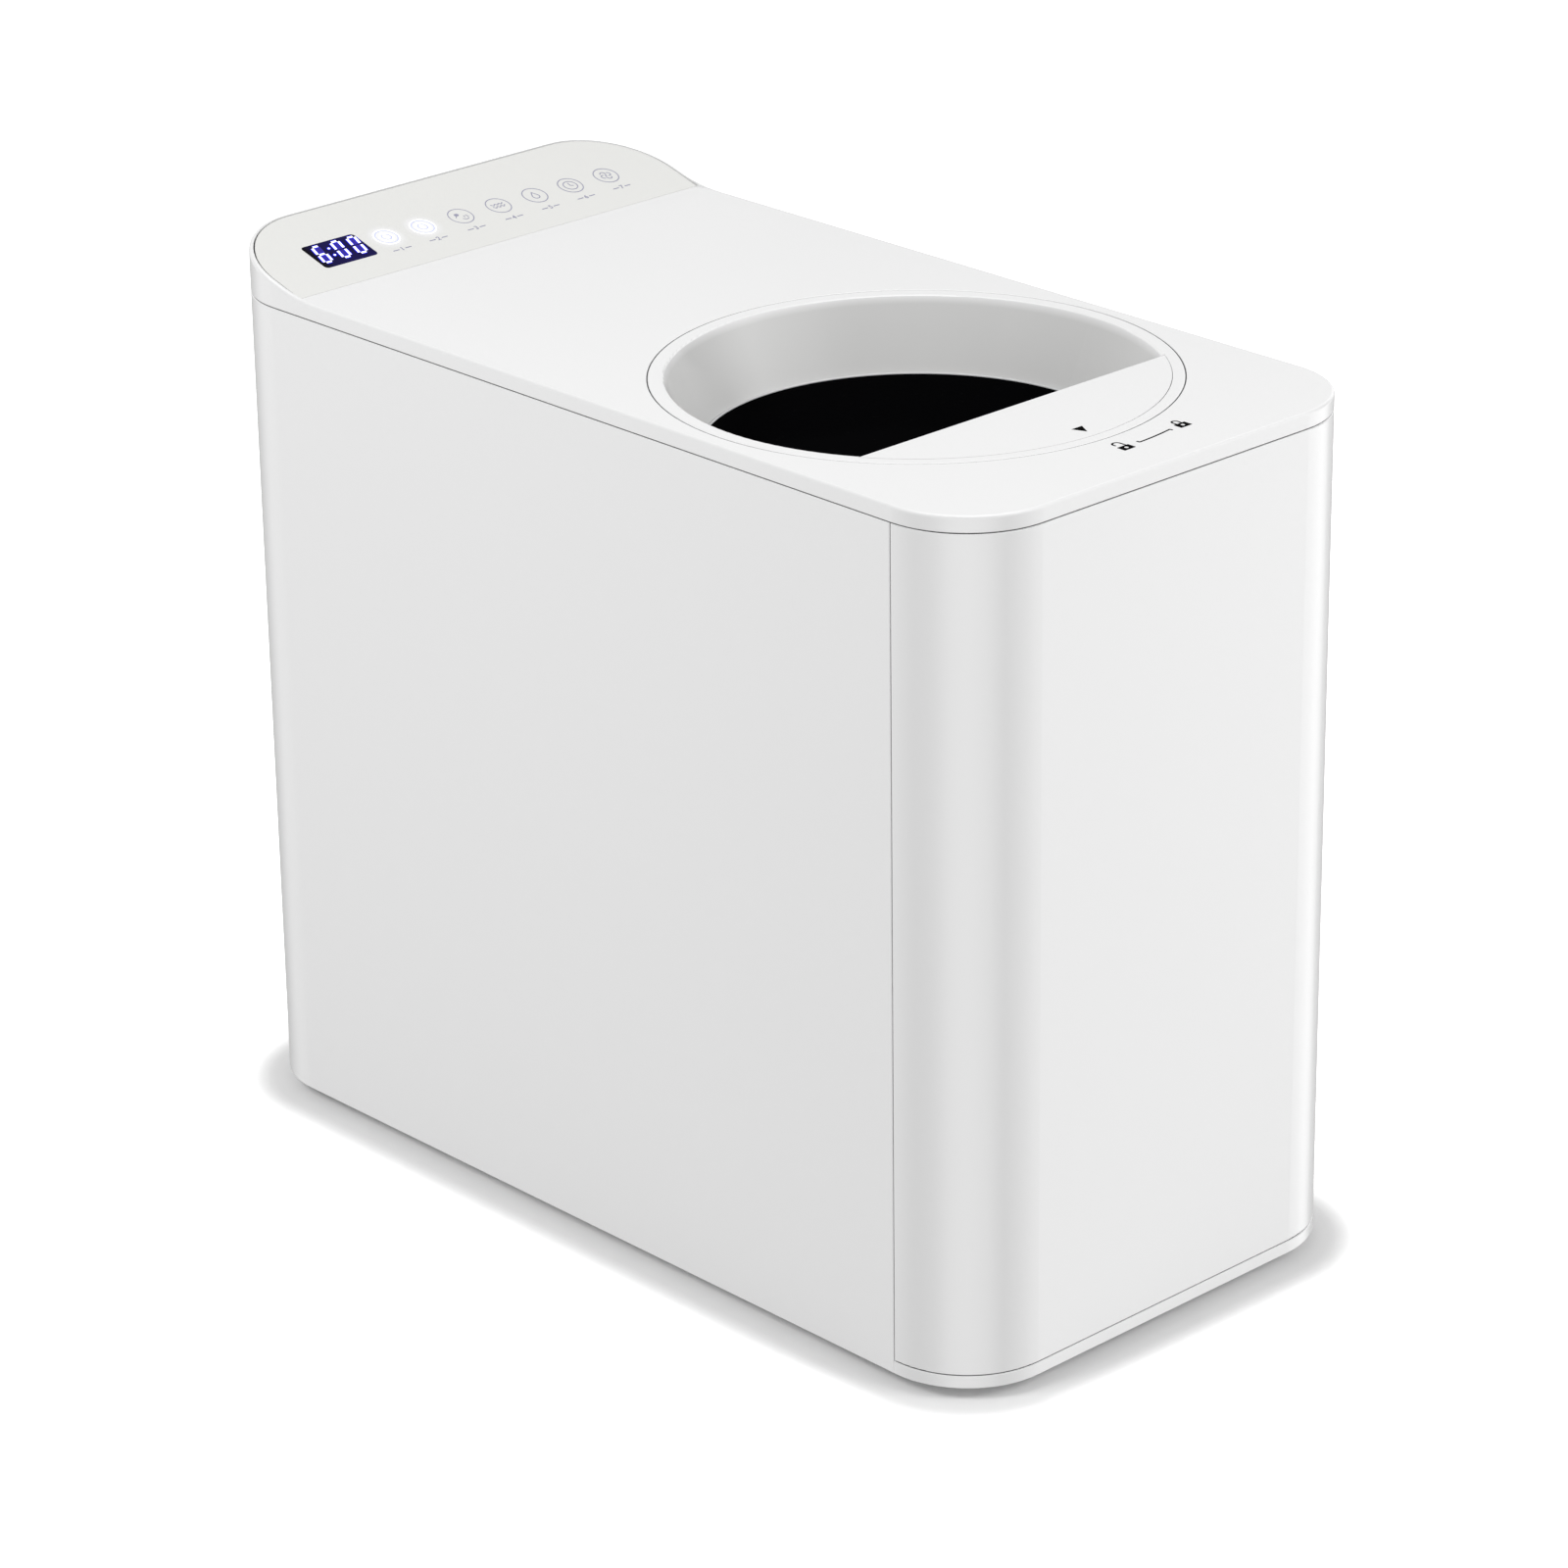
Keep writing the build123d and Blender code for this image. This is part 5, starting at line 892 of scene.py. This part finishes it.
# %% Carbon pad
def fleece_material():
    material, output = new_material("carbon_fleece")
    place = add_node(material, "TexCoord")
    granule = add_node(material, "TexVoronoi", {"Vector": place.outputs["Object"], "Scale": 1 / (2.6 * MM)})
    fibre = add_node(material, "TexNoise", {"Vector": place.outputs["Object"], "Scale": 1 / (0.25 * MM),
                                            "Detail": 4.0})
    tint = mixed(material, fibre.outputs["Fac"], linear("#17181A"), linear("#3A3C3F"))
    lumps = add_node(material, "Bump", {"Height": granule.outputs["Distance"], "Distance": 0.5 * MM,
                                        "Strength": 0.6})
    fuzz = add_node(material, "Bump", {"Height": fibre.outputs["Fac"], "Distance": 0.15 * MM,
                                       "Normal": lumps.outputs["Normal"]})
    skin = add_node(material, "BsdfPrincipled", {"Base Color": tint, "Roughness": 0.95,
                                                 "Normal": fuzz.outputs["Normal"]})
    material.node_tree.links.new(skin.outputs["BSDF"], output.inputs["Surface"])
    return material


finishes["carbon_fleece"] = fleece_material()
pad_low, pad_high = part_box("carbon_pad")
pad_size = pad_high - pad_low
pad_middle = (pad_low + pad_high) / 2
quilt_columns, quilt_rows = 6, 9
cell_steps = 6
stitch_depth = 2.2 * MM
rim_pinch = 5.0 * MM

bm = bmesh.new()
bmesh.ops.create_grid(bm, x_segments=quilt_columns * cell_steps, y_segments=quilt_rows * cell_steps, size=0.5,
                      matrix=Matrix.Rotation(math.pi / 2, 4, "X"))
thicken(bm, bm.faces[:], (0, 1, 0))
for vert in bm.verts:
    across, up, back = vert.co.x, vert.co.z, vert.co.y - 0.5
    puff = abs(math.sin(math.pi * quilt_columns * (across + 0.5))
               * math.sin(math.pi * quilt_rows * (up + 0.5)))
    rim = max(abs(across), abs(up)) * 2
    half = pad_size.y / 2 - stitch_depth * (1 - puff ** 0.5) - (rim_pinch * max(0, rim - 0.96) / 0.04)
    vert.co = pad_middle + Vector((across * pad_size.x * 0.995, math.copysign(max(half, 1.2 * MM), back),
                                   up * pad_size.z * 0.995))
pad = finished("quilted_carbon_pad", bm, finishes["carbon_fleece"], "drawer")
for face in pad.data.polygons:
    face.use_smooth = True
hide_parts("carbon_pad")

# %% [markdown]
# ## Floor and background
# The machine stands on a plain pale floor in front of white. Away from the casing the floor's colour
# is above white to the camera, so that only the shadow close to the machine shows on it.

# %% Floor
floor_half = 6.0
bm = bmesh.new()
bmesh.ops.create_grid(bm, x_segments=1, y_segments=1, size=floor_half)
floor_mesh = bpy.data.meshes.new("floor")
bm.to_mesh(floor_mesh)
bm.free()
floor = bpy.data.objects.new("floor", floor_mesh)
bpy.context.collection.objects.link(floor)


def floor_material():
    """White paper, brighter to the camera than the light it sends back up, but less so near the casing."""
    material, output = new_material("floor_paper")
    ray = add_node(material, "LightPath")
    place = add_node(material, "TexCoord").outputs["Object"]
    side = add_node(material, "VectorMath", {0: place}, operation="ABSOLUTE").outputs[0]
    inner = (body_half.x - corner_radius, body_half.y - corner_radius, 0)
    past = add_node(material, "VectorMath", {0: side, 1: inner}, operation="SUBTRACT").outputs[0]
    outside = add_node(material, "VectorMath", {0: past, 1: (0, 0, 0)}, operation="MAXIMUM").outputs[0]
    away = add_node(material, "VectorMath", {0: outside}, operation="LENGTH").outputs["Value"]
    seen = add_node(material, "MapRange", {"Value": away, "From Min": corner_radius + 5 * MM,
                                           "From Max": corner_radius + 32 * MM, "To Min": seen_near,
                                           "To Max": seen_far}, interpolation_type="SMOOTHSTEP")
    shade = add_node(material, "Mix", {0: ray.outputs["Is Camera Ray"], 2: bounce, 3: seen.outputs["Result"]})
    grain = add_node(material, "TexNoise", {"Scale": 400.0})
    paper = mixed(material, grain.outputs["Fac"], linear("#FFFFFF"), linear("#FDFDFD"))
    level = add_node(material, "VectorMath", {0: paper, 1: shade.outputs[0]}, operation="MULTIPLY")
    skin = add_node(material, "BsdfDiffuse", {"Color": level.outputs[0]})
    material.node_tree.links.new(skin.outputs["BSDF"], output.inputs["Surface"])
    return material


bounce = 0.65
seen_near = 0.9
seen_far = 2.6
wear(floor, floor_material())
floor.visible_glossy = False

# %% [markdown]
# ## Light
# Two soft square lamps stand on either side of the camera, one for the long left side and one
# for the front, and a white surround fills the shadows. Neither lamp shows in reflections. What
# the glossy casing mirrors is the surround, painted with upright cards of light: the walls, seen
# from above, mirror the part below the horizon, and the deck and the lid's funnel mirror the part
# above it. The dark gaps between the cards draw the soft upright bands on the rounded corners.
# Mirrored rays see the cards and not the white background.

# %% Lamps
lamp_distance = 1.6
lamp_size = 0.6
lamp_target = Vector((0, 0, 0.2))
# each lamp: azimuth and elevation in degrees, and power in watts
lamps = {"left_lamp": (-100, 42, 9.2), "front_lamp": (18, 32, 7.4)}
for lamp_name, (lamp_azimuth, lamp_elevation, lamp_power) in lamps.items():
    lamp_data = bpy.data.lights.new(lamp_name, "AREA")
    lamp_data.shape = "SQUARE"
    lamp_data.size = lamp_size
    lamp_data.energy = lamp_power
    lamp = bpy.data.objects.new(lamp_name, lamp_data)
    lamp.matrix_world = aimed(math.radians(lamp_azimuth), math.radians(lamp_elevation), 0.0, lamp_distance,
                              lamp_target)
    lamp.visible_glossy = False
    bpy.context.collection.objects.link(lamp)

# %% Surround
surround_level = 0.56
card_peak = 2.1
# Each stop: degrees from the camera's side, and brightness. These two lists began as the answer of a
# least-squares fit in another script. They were rounded, and some stops were changed.
low_cards = [(-180, 0.5), (-140, 0.5), (-120, 1.1), (-100, 1.2), (-80, 0.3), (-60, 0.0), (-40, 0.5),
             (-20, 1.8), (0, 1.9), (20, 1.5), (40, 0.2), (60, 0.9), (80, 1.5), (100, 2.1), (120, 2.1),
             (140, 0.6), (180, 0.5)]
high_cards = [(-180, 1.0), (-135, 0.9), (-90, 0.3), (-40, 0.0), (30, 0.0), (60, 0.8), (86, 2.1),
              (108, 0.9), (127, 0.4), (148, 1.5), (160, 1.4), (174, 0.95)]
overhead_card = 2.2
horizon_blend = 0.05
overhead_begin = 0.80
overhead_full = 0.90

world = bpy.data.worlds.new("studio")
world.use_nodes = True
world.cycles.sampling_method = "NONE"
bpy.context.scene.world = world
world.node_tree.nodes.clear()
ray = add_node(world, "LightPath")
direction = add_node(world, "TexCoord").outputs["Generated"]
turned = add_node(world, "VectorRotate", {"Vector": direction, "Angle": -camera_azimuth},
                  rotation_type="Z_AXIS")
split = add_node(world, "SeparateXYZ", {"Vector": turned.outputs["Vector"]})
facing = add_node(world, "Math", {0: split.outputs["Y"], 1: -1.0}, operation="MULTIPLY")
around = add_node(world, "Math", {0: split.outputs["X"], 1: facing.outputs[0]}, operation="ARCTAN2")
share = add_node(world, "MapRange", {"Value": around.outputs[0], "From Min": -math.pi, "From Max": math.pi})


def cards(stops):
    """Colour ramp round the horizon with the given stops."""
    node = add_node(world, "ValToRGB", {"Fac": share.outputs["Result"]})
    ramp = node.color_ramp.elements
    while len(ramp) < len(stops):
        ramp.new(0.5)
    for stop, (degrees, level) in zip(ramp, stops):
        stop.position = degrees / 360 + 0.5
        stop.color = [level / card_peak] * 3 + [1.0]
    return node.outputs["Color"]


above = add_node(world, "MapRange", {"Value": split.outputs["Z"], "From Min": -horizon_blend,
                                     "From Max": horizon_blend})
mirrored = mixed(world, above.outputs["Result"], cards(low_cards), cards(high_cards))
overhead = add_node(world, "MapRange", {"Value": split.outputs["Z"], "From Min": overhead_begin,
                                        "From Max": overhead_full})
ceiling = [overhead_card / card_peak] * 3 + [1.0]
mirrored = mixed(world, overhead.outputs["Result"], mirrored, ceiling)
reflected = add_node(world, "Background", {"Color": mirrored, "Strength": card_peak})
soft = add_node(world, "Background", {"Color": (1, 1, 1, 1), "Strength": surround_level})
seen = add_node(world, "Background", {"Color": (1, 1, 1, 1), "Strength": 1.0})
lit = add_node(world, "MixShader", {0: ray.outputs["Is Glossy Ray"], 1: soft.outputs[0],
                                    2: reflected.outputs[0]})
through = add_node(world, "Math", {0: ray.outputs["Is Camera Ray"], 1: ray.outputs["Is Transmission Ray"]},
                   operation="MAXIMUM")
either = add_node(world, "MixShader", {0: through.outputs[0], 1: lit.outputs[0], 2: seen.outputs[0]})
add_node(world, "OutputWorld", {"Surface": either.outputs[0]})
